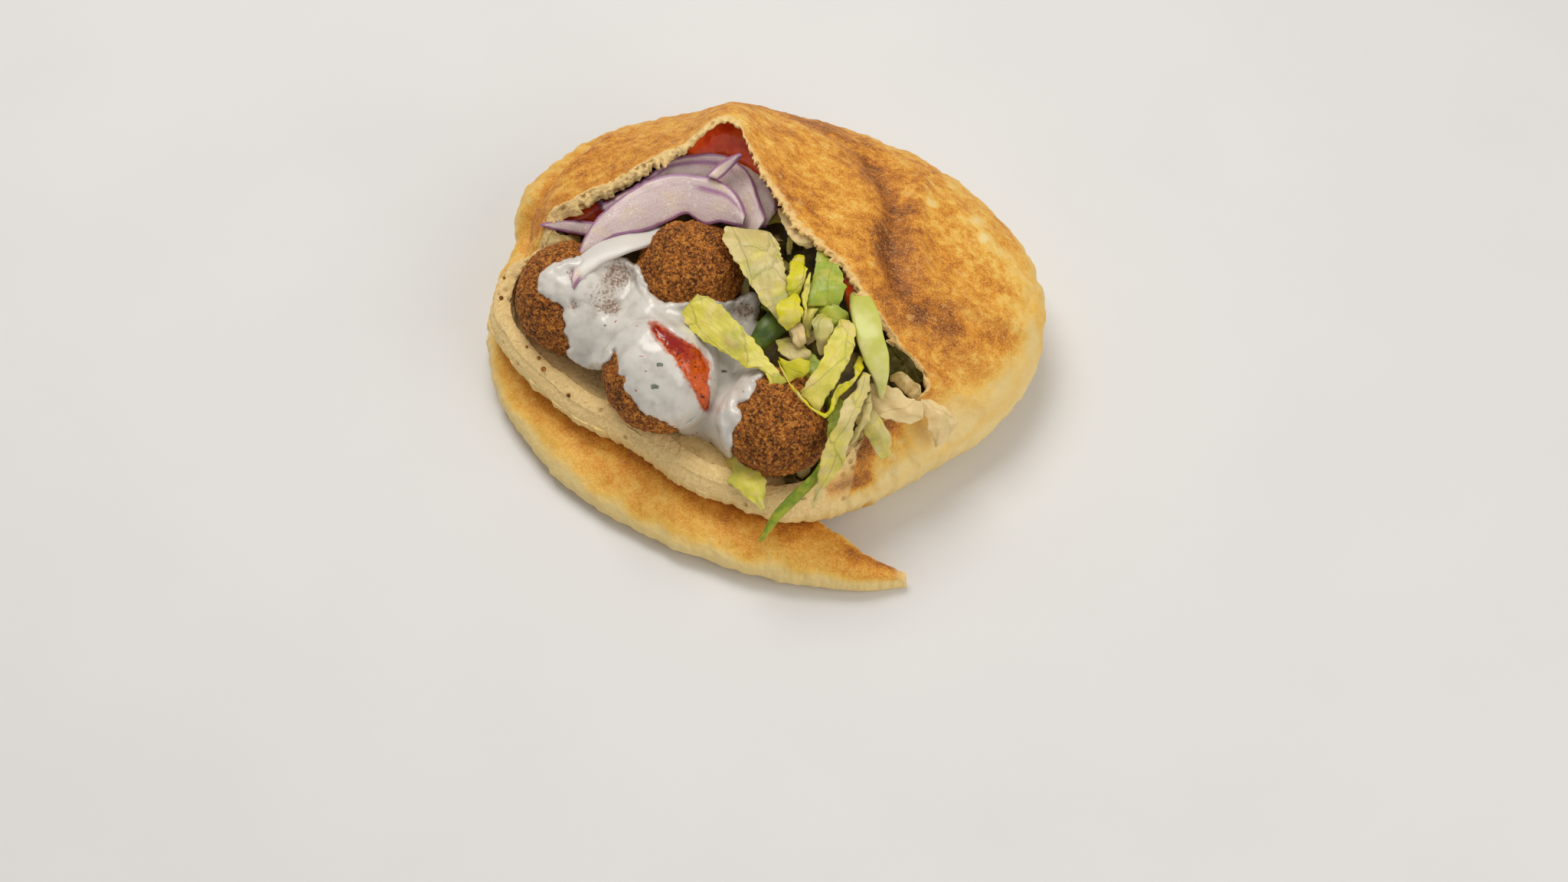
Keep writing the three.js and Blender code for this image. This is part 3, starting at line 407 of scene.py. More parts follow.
# How far round the inside of the pocket the salad is packed, as a share of the outline,
# and how near the middle it starts to rise.
PACKING = [
    (0, 0.86, 0), (60, 0.86, 0.05), (120, 0.86, 0.1), (145, 0.75, 0.3), (158, 0.3, 0.85),
    (180, 0.21, 0.85), (230, 0.2, 0.85), (285, 0.2, 0.85), (300, 0.27, 0.8), (314, 0.42, 0.3),
    (338, 0.5, 0), (350, 0.75, 0)]


# ---------------------------------------------------------------- settings
def tone(red, green, blue):
    """A given colour, 0 to 255, as the linear share of light that it returns."""
    shares = np.array([red, green, blue]) / 255
    linear = np.where(shares <= 0.04045, shares / 12.92, ((shares + 0.055) / 1.055) ** 2.4)
    return tuple(float(v) for v in linear)


FLECK = tone(248, 204, 122)  # pale flecks on the crust
# painted shade in the crumb's hollows, where its bump relief is low
CRUMB_HOLLOW_SHADE = tone(228, 188, 120)
# painted shade in the crumb's pores
PORE_SHADE = tone(168, 118, 60)
SOAKED = tone(198, 158, 88)  # leaves stained by the sauce
VEIN = tone(128, 130, 74)


def colour_property(name, description, *picked):
    return bpy.props.FloatVectorProperty(
        name=name, description=description, subtype="COLOR", size=3, min=0, max=1,
        default=tone(*picked)
    )


def length_property(name, description, millimetres, **limits):
    return bpy.props.FloatProperty(
        name=name, description=description, subtype="DISTANCE", unit="LENGTH",
        precision=5, default=millimetres * MM, **limits
    )


class PITA_PG_bread(bpy.types.PropertyGroup):
    cream: colour_property("Cream", "Crust that hardly browned", 242, 214, 144)
    light: colour_property("Light", "Lightly baked crust", 240, 190, 86)
    gold: colour_property("Gold", "Evenly baked crust", 222, 147, 44)
    brown: colour_property("Brown", "Toasted crust", 178, 106, 33)
    char: colour_property("Char", "Darkest mottling", 112, 58, 20)
    crumb: colour_property("Crumb", "Soft inside where the bread is torn", 254, 222, 154)
    tear: length_property("Tear", "How ragged the mouth's edge is", 1.0, min=0)
    blister: length_property("Blister", "Height of the crust's small unevenness", 0.3, min=0)


class PITA_PG_falafel(bpy.types.PropertyGroup):
    # From deep between the crags to their tips: the crust's own tones, with painted shade in the pits and
    # painted light on the tips.
    dark_crust_and_pit_shade: colour_property("Pit", "Deep between the crags", 66, 31, 10)
    crust: colour_property("Crust", "Fried crust", 120, 65, 15)
    crag: colour_property("Crag", "Tips of the crags", 184, 106, 26)
    golden: colour_property("Golden", "Grains that hardly browned", 220, 150, 62)
    herb: colour_property("Herb", "Flecks of parsley", 34, 36, 14)
    depth: length_property("Crag depth", "How far the crags stand out", 0.78, min=0)


class PITA_PG_sauce(bpy.types.PropertyGroup):
    yoghurt: colour_property("Yoghurt", "Thick yoghurt sauce", 224, 219, 208)
    chilli: colour_property("Chilli", "Chilli sauce", 146, 16, 1)
    thin: colour_property("Thin chilli", "Chilli sauce where it is thin", 228, 96, 10)
    herb: colour_property("Herb", "Flakes of herb on the yoghurt", 104, 114, 94)
    depth: length_property("Depth", "Depth of the yoghurt over the falafels", SAUCE_DEPTH, min=0)


class PITA_PG_salad(bpy.types.PropertyGroup):
    pale: colour_property("Pale", "Pale heart leaves", 214, 196, 126)
    yellow: colour_property("Yellow", "Yellow-green leaves", 226, 214, 94)
    bright: colour_property("Bright", "Brightest yellow leaves", 222, 210, 30)
    green: colour_property("Green", "Green leaves", 158, 176, 58)
    white: colour_property("White", "Ribs and cabbage", 240, 212, 152)
    # A dark green, darkened further as painted shade for the leaves deep in the cavity under the bread's
    # edge.
    dark: colour_property("Dark", "Dark outer leaves", 66, 56, 8)
    amber: colour_property("Amber", "Leaves soaked by the sauce", 180, 150, 84)
    fill: bpy.props.IntProperty(
        name="Small shreds", description="Short shreds scattered over the heap", default=110, min=0
    )


class PITA_PG_vegetables(bpy.types.PropertyGroup):
    onion: colour_property("Onion", "Flesh of the red onion", 218, 198, 193)
    purple: colour_property("Purple", "Edges of the onion's layers", 144, 72, 134)
    tomato: colour_property("Tomato", "Wet tomato flesh", 255, 104, 30)
    cucumber: colour_property("Cucumber", "Cucumber flesh", 202, 204, 88)
    skin: colour_property("Skin", "Cucumber skin", 66, 92, 20)
    stalk: colour_property("Stalk", "Spring onion", 112, 134, 14)


class PITA_PG_stage(bpy.types.PropertyGroup):
    floor: colour_property("Floor", "Plain pale floor", 232, 231, 229)
    elevation: bpy.props.FloatProperty(
        name="Elevation", description="How steeply the camera looks down", subtype="ANGLE",
        default=math.radians(56)
    )
    height: length_property("Height", "Height of the camera over the floor", 645.6)
    lens: bpy.props.FloatProperty(
        name="Lens", description="Focal length in millimetres", default=56.8, min=1
    )
    key: bpy.props.FloatProperty(
        name="Key light", description="Power of the soft main light", subtype="POWER",
        default=6.8, min=0
    )


GROUPS = {
    "bread": PITA_PG_bread,
    "falafel": PITA_PG_falafel,
    "sauce": PITA_PG_sauce,
    "salad": PITA_PG_salad,
    "vegetables": PITA_PG_vegetables,
    "stage": PITA_PG_stage,
}


class PITA_PG_settings(bpy.types.PropertyGroup):
    """All the pita's settings."""

    __annotations__ = {name: bpy.props.PointerProperty(type=group) for name, group in GROUPS.items()}


# ---------------------------------------------------------------- numbers
def step(x, low, high):
    """A smooth step: 0 below low, 1 above high, 3t^2 - 2t^3 between."""
    t = np.clip((np.asarray(x, float) - low) / (high - low), 0, 1)
    return t * t * (3 - 2 * t)


def window(x, low, full, ebb, high):
    """A smooth step up from low to full, and down again from ebb to high."""
    return step(x, low, full) * (1 - step(x, ebb, high))


def lerp(a, b, t):
    return a + (b - a) * t


def rounded_max(a, b, blend):
    """The higher of two heights. Where they are less than the blend apart, it gains
    (blend - difference)^2 / (4 blend)."""
    near = (blend - np.abs(a - b)).clip(0)
    return np.maximum(a, b) + near**2 / (4 * blend)


def unit(vectors):
    return vectors / np.linalg.norm(vectors, axis=-1, keepdims=True).clip(1e-9)


def stack(*parts):
    """Grids and numbers, stretched to one size, as the coordinates of one grid of points."""
    return np.stack(np.broadcast_arrays(*parts), -1)


def parts(points):
    """The coordinates of a grid of points, one by one."""
    return np.moveaxis(points, -1, 0)


def left_of(way):
    """Directions in a plane, turned left by a quarter."""
    return stack(-way[..., 1], way[..., 0])


def spline(stations, closed=False):
    """A monotone cubic through stations (t, a, b, ...); a closed one repeats after 360."""
    rows = np.array(stations, float)
    if closed:
        turn = np.eye(1, rows.shape[1])[0] * 360
        rows = np.concatenate([rows[-2:] - turn, rows, rows[:3] + turn])
    t, values = rows[:, 0], rows[:, 1:]
    slope = np.diff(values, axis=0) / np.diff(t)[:, None]
    product, total = slope[:-1] * slope[1:], slope[:-1] + slope[1:]
    even = np.where(product > 0, 2 * product / np.where(product > 0, total, 1), 0)
    tangent = np.concatenate([slope[:1], even, slope[-1:]])

    def at(x):
        x = np.asarray(x, float)
        x = x % 360 if closed else x
        i = np.clip(np.searchsorted(t, x, side="right") - 1, 0, len(t) - 2)
        h = (t[i + 1] - t[i])[..., None]
        u = (x - t[i])[..., None] / h
        return (
            values[i] * (1 + 2 * u) * (1 - u) ** 2
            + values[i + 1] * u * u * (3 - 2 * u)
            + h * (tangent[i] * u * (1 - u) ** 2 - tangent[i + 1] * u * u * (1 - u))
        )

    return at


def curve(points, t):
    """Points at shares t along a smooth line: the cubic through four points at a time whose
    slope at each is half the way from the one before to the one after."""
    p = np.array(points, float)
    p = np.concatenate([[2 * p[0] - p[1]], p, [2 * p[-1] - p[-2]]])
    x = np.clip(t, 0, 1) * (len(p) - 3)
    i = np.minimum(x.astype(int), len(p) - 4)
    u = (x - i)[:, None]
    a, b, c, d = p[i], p[i + 1], p[i + 2], p[i + 3]
    return b + 0.5 * u * (c - a + u * (2 * a - 5 * b + 4 * c - d + u * (3 * (b - c) + d - a)))


def closed_curve(points, t):
    """Points at shares t round the same smooth line, closed."""
    count = len(points)
    return curve(points[-1:] + points + points[:2], (1 + count * t) / (count + 2))


def waves(x, y, z, length, seed):
    """Smooth unevenness: a few crossing sine waves, within about -1 and 1."""
    total = 0
    for i in range(4):
        a, b = 1.7 * seed + 2.4 * i, 0.9 * seed + 1.3 * i
        across = x * math.cos(a) * math.cos(b) + y * math.sin(a) * math.cos(b) + z * math.sin(b)
        total = total + np.sin(2 * math.pi * across / (length * (1 + 0.31 * i)) + 3.1 * i + seed)
    return total / 2.6


RANDOM = np.random.default_rng(5)
SHUFFLE = np.concatenate([RANDOM.permutation(256)] * 2)
DIRECTIONS = unit(RANDOM.normal(size=(256, 3)))
JITTER = RANDOM.random((256, 3))
CHANCE = RANDOM.random(256)


def lattice(cell):
    """The number, 0 to 255, drawn for each cell of a cubic lattice."""
    c = cell & 255
    return SHUFFLE[SHUFFLE[SHUFFLE[c[..., 0]] + c[..., 1]] + c[..., 2]]


def noise(points, length, seed):
    """Gradient noise within about -1 and 1: at each corner of the lattice cell of a point, the
    way from the corner along a drawn direction, blended by 6t^5 - 15t^4 + 10t^3. A seed moves
    the points elsewhere in the lattice."""
    p = points / length + 17.3 * seed
    cell = np.floor(p).astype(int)
    f = p - cell
    w = f * f * f * (f * (6 * f - 15) + 10)
    total = 0
    for corner in np.ndindex(2, 2, 2):
        corner = np.array(corner)
        slope = (DIRECTIONS[lattice(cell + corner)] * (f - corner)).sum(-1)
        total = total + slope * np.where(corner, w, 1 - w).prod(-1)
    return 1.8 * total


def layered(points, *layers):
    """Layers of noise, each a height, a length and a seed."""
    return sum(height * noise(points, length, seed) for height, length, seed in layers)


def grains(points, size, seed):
    """Grains that fill space, one to a lattice cell at a drawn place. Gives how far a point is
    from its nearest grain's middle, in sizes, and that grain's drawn chance, 0 to 1."""
    p = points / size + 11.7 * seed
    cell = np.floor(p).astype(int)
    nearest = np.full(p.shape[:-1], 9.0)
    chance = np.zeros(p.shape[:-1])
    for corner in np.ndindex(3, 3, 3):
        there = cell + np.array(corner) - 1
        drawn = lattice(there)
        distance = np.linalg.norm(there + JITTER[drawn] - p, axis=-1)
        closer = distance < nearest
        nearest = np.where(closer, distance, nearest)
        chance = np.where(closer, CHANCE[drawn], chance)
    return nearest, chance


def line_distance(x, y, line):
    """Distance from points to a line of points, all seen from above."""
    best = np.full(np.shape(x), 1e9)
    for (ax, ay), (bx, by) in zip(line, line[1:]):
        dx, dy = bx - ax, by - ay
        t = np.clip(((x - ax) * dx + (y - ay) * dy) / (dx * dx + dy * dy), 0, 1)
        best = np.minimum(best, np.hypot(x - ax - t * dx, y - ay - t * dy))
    return best


def folded(x, y, folds):
    """The sum over lines of an amount that falls as exp(-(distance/reach)^2)."""
    return sum(more * np.exp(-((line_distance(x, y, line) / reach) ** 2)) for line, more, reach in folds)


def hills(p, q, places):
    """The same sum over places of the sauces' sheet."""
    return sum(
        more * np.exp(-((p - a) ** 2 + (q - b) ** 2) / reach**2) for (a, b), reach, more in places
    )


# ---------------------------------------------------------------- shapes and pieces
class Shape:
    """Points in working millimetres, the quads and triangles between them, and numbers that
    the points carry for the finish."""

    def __init__(self, points, quads, triangles, values):
        self.points, self.quads, self.triangles = points, quads, triangles
        self.values = values

    @staticmethod
    def joined(shapes):
        """Several shapes as one; a number that a shape lacks is 0 there."""
        starts = np.cumsum([0] + [len(s.points) for s in shapes])
        names = sorted({name for s in shapes for name in s.values})
        return Shape(
            np.concatenate([s.points for s in shapes]),
            np.concatenate([s.quads + n for s, n in zip(shapes, starts)]),
            np.concatenate([s.triangles + n for s, n in zip(shapes, starts)]),
            {
                name: np.concatenate([s.values.get(name, np.zeros(len(s.points))) for s in shapes])
                for name in names
            },
        )


def tube(rings, first, last, **values):
    """A closed shape from rings of points, (rows, columns, 3), with a point at each end.
    Values are grids like the rings, or one number for the whole."""
    rows, columns = rings.shape[:2]
    i, j = np.meshgrid(np.arange(rows - 1), np.arange(columns), indexing="ij")
    a, b = i * columns + j, i * columns + (j + 1) % columns
    quads = np.stack([a, b, b + columns, a + columns], -1).reshape(-1, 4)
    j = np.arange(columns)
    k = (j + 1) % columns
    end = (rows - 1) * columns
    fans = np.concatenate([stack(rows * columns, k, j), stack(rows * columns + 1, end + j, end + k)])
    carried = {}
    for name, value in values.items():
        grid = np.broadcast_to(value, (rows, columns))
        carried[name] = np.concatenate([grid.ravel(), [grid[0].mean(), grid[-1].mean()]])
    return Shape(np.concatenate([rings.reshape(-1, 3), [first], [last]]), quads, fans, carried)


def ring_normals(rings):
    """Unit normals of a tube's rings, pointing out of it: across the way round and the way on."""
    around = np.roll(rings, -1, 1) - np.roll(rings, 1, 1)
    return unit(np.cross(around, np.gradient(rings, axis=0)))


def make_piece(name, shape, finish, nodes):
    """Makes a shape into a smooth mesh in the frame's metres that rides on the pita, stands for
    its nodes and carries its numbers as attributes."""
    mesh = bpy.data.meshes.new(name)
    points = (shape.points - MIDDLE) * MM
    mesh.from_pydata(points.tolist(), [], shape.quads.tolist() + shape.triangles.tolist())
    mesh.shade_smooth()
    for key, value in shape.values.items():
        attribute = mesh.attributes.new(key, "FLOAT", "POINT")
        attribute.data.foreach_set("value", value.astype(np.float32))
    mesh.materials.append(finish)
    piece = bpy.data.objects.new(name, mesh)
    bpy.context.scene.collection.objects.link(piece)
    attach(piece, BODY)
    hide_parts(*nodes)


# ---------------------------------------------------------------- shader writing
class Value:
    """A socket of a shader. Arithmetic on it adds the Math node that works it out."""

    def __init__(self, shader, socket):
        self.shader, self.socket = shader, socket

    def maths(self, operation, *numbers):
        return self.shader.add("ShaderNodeMath", numbers, operation=operation)

    def __add__(self, other):
        return self.maths("ADD", self, other)

    def __sub__(self, other):
        return self.maths("SUBTRACT", self, other)

    def __rsub__(self, other):
        return self.maths("SUBTRACT", other, self)

    def __mul__(self, other):
        return self.maths("MULTIPLY", self, other)

    def above(self, other):
        return self.maths("MAXIMUM", self, other)


class Finish:
    """A material whose Principled shader is fed by expressions."""

    def __init__(self, name, **sockets):
        self.material = bpy.data.materials.new(name)
        self.material.use_nodes = True
        self.tree = self.material.node_tree
        self.shader = self.tree.nodes["Principled BSDF"]
        self.feed(**sockets)
        self.place = self.add("ShaderNodeTexCoord", (), output="Object")

    def put(self, value, socket):
        """Links a value to a socket, or sets a number or a colour there."""
        if isinstance(value, Value):
            self.tree.links.new(value.socket, socket)
        else:
            socket.default_value = (*value, 1) if socket.type == "RGBA" else value

    def feed(self, **sockets):
        """Sets or links the shader's sockets, named with _ for a space."""
        for key, value in sockets.items():
            self.put(value, self.shader.inputs[key.replace("_", " ")])

    def add(self, kind, inputs, output=0, stops=(), **settings):
        """Adds a node with its settings and ramp stops first, then its inputs: a list in order
        or a dict by name or number. Gives the output that is named or numbered."""
        node = self.tree.nodes.new(kind)
        for key, value in settings.items():
            setattr(node, key, value)
        for _ in stops[2:]:
            node.color_ramp.elements.new(0.5)
        for element, (position, colour) in zip(node.color_ramp.elements if stops else (), stops):
            element.position, element.color = position, (*colour, 1)
        for key, value in inputs.items() if isinstance(inputs, dict) else enumerate(inputs):
            self.put(value, node.inputs[key])
        return Value(self, node.outputs[output])

    def attribute(self, name):
        return self.add("ShaderNodeAttribute", (), output="Fac", attribute_name=name)

    def vector(self, *coordinates):
        return self.add("ShaderNodeCombineXYZ", coordinates)

    def noise(self, millimetres, detail, at=None):
        """Noise within 0 and 1 of a size in millimetres."""
        inputs = {"Vector": at or self.place, "Scale": 1 / (millimetres * MM), "Detail": detail}
        return self.add("ShaderNodeTexNoise", inputs)

    def stretched(self, turn, lengths):
        """The place along axes turned about Z by turn degrees, for a pattern that is longer by
        lengths along them."""
        inputs = {"Vector": self.place, "Rotation": (0, 0, math.radians(turn)), "Scale": lengths}
        return self.add("ShaderNodeMapping", inputs, vector_type="TEXTURE")

    def smooth(self, value, low, high, start=0.0, end=1.0):
        """A smooth step of a value from low to high, as start to end."""
        return self.add(
            "ShaderNodeMapRange", [value, low, high, start, end], interpolation_type="SMOOTHSTEP")

    def mix(self, a, b, share):
        """Colour a where share is 0 and b where it is 1."""
        return self.add("ShaderNodeMix", {0: share, 6: a, 7: b}, output=2, data_type="RGBA")

    def patched(self, colour, other, value, low, high, share):
        """A colour, with another over it by a share where a value goes from low to high."""
        return self.mix(colour, other, self.smooth(value, low, high) * share)

    def ramp(self, value, *stops):
        return self.add("ShaderNodeValToRGB", [value], stops=stops)

    def bump(self, height, millimetres, strength):
        """Feeds the normal with a relief whose height of 1 is so many millimetres."""
        inputs = {"Height": height, "Distance": millimetres * MM, "Strength": strength}
        self.feed(Normal=self.add("ShaderNodeBump", inputs))


def moist(name, coat, depth, **sockets):
    """A wet finish: its coat's weight and roughness, and the weight, reach by colour and
    millimetres of the light that sinks in."""
    return Finish(name, Coat_Weight=coat[0], Coat_Roughness=coat[1], Subsurface_Weight=depth[0],
                  Subsurface_Radius=depth[1], Subsurface_Scale=depth[2] * MM, **sockets)


def bread_finish(settings, name, turn, stretch, mottling):
    """Crust that goes from cream through gold to brown with heat, mottled at three sizes and
    strewn with pale flecks; open crumb where the bread is torn, with painted shade in its
    hollows and pores."""
    f = Finish(name, Specular_IOR_Level=0.35)
    crumb, toast = f.attribute("crumb"), f.attribute("toast")
    along = f.stretched(turn, (stretch, 1, 1))
    patches = f.noise(15, 2) - 0.5
    mottles = f.noise(4.6, 3, along) - 0.5
    small = f.noise(1.9, 3, along) - 0.5
    specks = f.noise(0.6, 2) - 0.5
    browned = f.smooth(toast, 0.1, 0.45)
    heat = patches * 0.4 + (mottles * 0.65 + small * 0.55) * mottling + specks * 0.6
    heat = toast + heat * (browned * 0.8 + 0.2)
    crust = f.ramp(
        heat, (0.04, settings.cream), (0.26, settings.light), (0.47, settings.gold),
        (0.68, settings.brown), (0.96, settings.char))
    crust = f.patched(crust, FLECK, f.noise(0.5, 1), 0.57, 0.67, browned * 0.34)
    crust = f.patched(crust, settings.cream, f.noise(3.0, 1, along), 0.66, 0.76, browned * 0.22)
    # Painted shade: the crumb darkens where its bump relief is low, in its pores and in fine painted pits.
    hollows = f.smooth(f.noise(1.5, 3), 0.4, 0.6)
    soft = f.mix(CRUMB_HOLLOW_SHADE, settings.crumb, hollows * 0.3 + 0.6)
    pits = f.smooth(f.noise(0.8, 1), 0.6, 0.72)
    soft = f.mix(soft, PORE_SHADE, f.attribute("pore") * 0.5 + pits * 0.3)
    f.feed(Base_Color=f.mix(crust, soft, crumb), Roughness=crumb * 0.25 + 0.6)
    upright = f.noise(1.7, 3, f.stretched(0, (1, 1, 6))) * (1 - browned) * (1 - crumb)
    relief = f.noise(0.6, 3) * 0.4 + f.noise(2.2, 2) * 0.6 + heat * 0.25 + upright * 1.2
    f.bump(relief + hollows * crumb * 0.6, 0.5, 0.6)
    return f.material


def falafel_finish(settings):
    """Fried crust, dark in its pits and orange-brown on its crags, partly its own tones and
    partly painted shade and painted light; with grains of herb.
    """
    f = Finish("falafel", Specular_IOR_Level=0.4)
    height, grain, lump = f.attribute("height"), f.attribute("grain"), f.attribute("lump")
    fine = f.noise(0.42, 3) - 0.5
    patches = (f.noise(8, 2) - 0.5) * 0.45 + (f.noise(2.6, 2) - 0.5) * 0.45
    # The crag height darkens the pits and lightens the tips: painted shade and painted light, mixed with
    # the crust's own mottling.
    lift = height * 0.2 + 0.48 + fine * 1.1 + patches + (lump - 0.5) * 0.4
    colour = f.ramp(
        lift, (0.08, settings.dark_crust_and_pit_shade), (0.4, settings.crust), (0.74, settings.crag),
        (1.05, settings.golden))
    colour = f.mix(colour, settings.golden, f.smooth(grain, 0.14, 0.16, 1, 0) * 0.5)
    # Golden specks: lighter grains of the crust, with painted highlights among them.
    colour = f.patched(colour, settings.golden, f.noise(0.9, 2), 0.57, 0.66, 0.6)
    colour = f.patched(colour, settings.herb, grain, 0.94, 0.95, 0.85)
    f.feed(Base_Color=colour, Roughness=0.8 - height * 0.15)
    f.bump(f.noise(0.36, 3), 0.35, 0.8)
    return f.material


def yoghurt_finish(settings, crust):
    """Thick glossy yoghurt, browned where it is a thin smear over the crust, and reddened by
    the chilli sauce."""
    f = moist("yoghurt", (0.25, 0.12), (0.3, (0.9, 0.85, 0.75), 1.6))
    thin = f.attribute("smear") + f.smooth(f.attribute("depth"), -0.9, 0.2, 0.35, 0)
    share = f.smooth(thin * 0.5 + f.noise(0.9, 3) * 1.2, 1.0, 1.2)
    colour = f.patched(settings.yoghurt, tone(190, 182, 170), f.noise(6, 3), 0.45, 0.7, 0.6)
    colour = f.patched(colour, tone(138, 108, 84), thin * 0.8 + f.noise(3, 3) * 0.9, 0.75, 1.5, 0.6)
    colour = f.mix(colour, crust, share * 0.7)
    red = f.attribute("chilli") + f.noise(1.8, 3) * 3.2
    colour = f.patched(colour, tone(200, 84, 30), red, 0.2, 1.8, 0.85)
    colour = f.patched(colour, tone(170, 92, 44), f.noise(2.4, 1), 0.77, 0.79, 0.8)
    f.feed(Base_Color=colour, Roughness=share * 0.35 + 0.28)
    f.bump(f.noise(2.2, 2) * 0.6 + share * 0.8, 0.2, 0.5)
    return f.material


def chilli_finish(settings):
    """Wet chilli sauce, orange where it is thin at its rim and towards its lower end, with
    specks of pepper."""
    f = moist("chilli", (0.3, 0.08), (0.15, (1.0, 0.2, 0.05), 1.0))
    rim = f.smooth(f.attribute("depth"), -0.9, 0.9, 0.45, 0)
    thin = f.attribute("down") * 0.75 + rim + f.noise(2.4, 3) * 0.8
    colour = f.patched(settings.chilli, settings.thin, thin, 0.45, 1.05, 1)
    colour = f.patched(colour, tone(84, 8, 2), f.noise(0.9, 2), 0.6, 0.68, 1)
    f.feed(Base_Color=colour, Roughness=rim * 0.3 + 0.18)
    f.bump(f.noise(1.5, 2), 0.3, 0.5)
    return f.material


def onion_finish(settings, sauce):
    """Moist flesh with fine lines along it, purple at its edges and along inner layers, and
    sauce over part of it."""
    f = moist("onion", (0.15, 0.2), (0.35, (1.0, 0.75, 0.75), 1.4))
    streaks = f.noise(900, 3, f.vector(f.attribute("along") * 0.09, f.attribute("aside"), 0))
    clouds, grain = f.noise(5, 3), f.noise(0.5, 2)
    purple = f.smooth(f.attribute("inside") + clouds * 0.5, 0.8, 1.35, 1, 0)
    colour = f.patched(settings.onion, tone(206, 172, 172), streaks, 0.45, 0.75, 0.5)
    colour = f.patched(colour, tone(226, 206, 170), clouds, 0.5, 0.7, 0.5)
    colour = f.patched(colour, tone(178, 140, 134), grain, 0.52, 0.72, 0.5)
    frost = f.smooth(f.noise(9, 1), 0.45, 0.6) * 0.6
    colour = f.patched(colour, tone(244, 238, 232), f.noise(1.1, 3), 0.58, 0.7, frost)
    colour = f.mix(colour, settings.purple, purple.above(f.attribute("line")) * 0.8)
    colour = f.mix(colour, sauce, f.attribute("coated"))
    f.feed(Base_Color=colour, Roughness=clouds * 0.2 + 0.3)
    f.bump(streaks * 0.8 + grain * 0.5, 0.3, 0.5)
    return f.material


def leaf_finish(settings, kind):
    """A crisp leaf: broad bands of lighter flesh, fine veins, and a satin skin."""
    dark = kind == "dark"
    f = moist("lettuce_" + kind, (0, 0), (0.2, (0.9, 1.0, 0.25), 1.2),
              Specular_IOR_Level=0.1 if dark else 0.4)
    along, aside, drawn = f.attribute("along"), f.attribute("aside"), f.attribute("drawn")
    flat = f.vector(along * 0.0004, aside * 0.001, drawn)
    bent = f.add("ShaderNodeTexNoise", {"Vector": flat, "Scale": 240.0, "Detail": 2.0}, output=1)
    warped = f.add("ShaderNodeMix", {0: 0.003, 4: flat, 5: bent}, output=1, data_type="VECTOR")
    veins = 0
    for scale, share in ((110.0, 0.7), (330.0, 0.3)):
        inputs = {"Vector": warped, "Scale": scale}
        net = f.add("ShaderNodeTexVoronoi", inputs, feature="DISTANCE_TO_EDGE")
        veins = f.smooth(net, 0.004, 0.03, share, 0) + veins
    streaks = f.noise(2.2, 2, f.vector(along * 0.00014, aside * 0.001, drawn))
    clouds = f.noise(6, 3)
    ways = f.vector(along * 0.0007 + clouds * 0.002, aside * 0.0002 + clouds * 0.001, drawn)
    bands = f.noise(1.7, 2, ways)
    fresh, paler, soaked = LEAF_TINTS.get(kind, (0.35, 0.6, 0.1))
    ribbed = clouds * 0.7 + streaks * 0.3 + bands
    tint = f.patched(getattr(settings, kind), settings.white, ribbed, 0.95, 1.25, paler)
    tint = f.patched(tint, settings.green, f.noise(9, 2) - streaks * 0.2, 0.4, 0.6, fresh)
    sunny = f.noise(7.5, 2) + bands * 0.4
    tint = f.patched(tint, settings.bright, sunny, 0.68, 0.9, fresh * 1.3)
    tint = f.patched(tint, SOAKED, streaks + clouds * 0.5, 0.7, 1.0, soaked)
    tint = f.mix(tint, VEIN, veins * (0.25 + 0.8 * fresh))
    f.feed(Base_Color=tint, Roughness=clouds * 0.3 + (0.6 if dark else 0.26))
    f.bump(veins * -0.4 + streaks + bands * 0.5 + f.noise(2.6, 2) * 0.6, 0.5, 0.6)
    return f.material


def plain_food_finish(name, colour, other, size, roughness, coat, radius):
    """Moist flesh in two tones that change over so many millimetres."""
    f = moist(name, (coat, 0.1), (0.3, radius, 1.5))
    share = f.smooth(f.noise(size, 3), 0.38, 0.66)
    f.feed(Base_Color=f.mix(colour, other, share), Roughness=share * 0.15 + roughness)
    f.bump(f.noise(size * 0.3, 3), 0.4, 0.4)
    return f.material


# ---------------------------------------------------------------- the pocket
POCKET_COLUMNS = 760
OUTER_ROWS = np.concatenate([
    np.linspace(0.08, 1, 8), np.linspace(1, 2, 26)[1:], 3 - np.linspace(1, 0, 112)[1:] ** 1.25
])
EDGE_ROWS = 12
INNER_ROWS = np.concatenate([3 - np.linspace(0, 1, 44) ** 1.3, np.linspace(2, 0.08, 40)[1:]])
pocket_at = spline(POCKET, closed=True)
mouth_edge_at = spline(MOUTH_EDGE, closed=True)


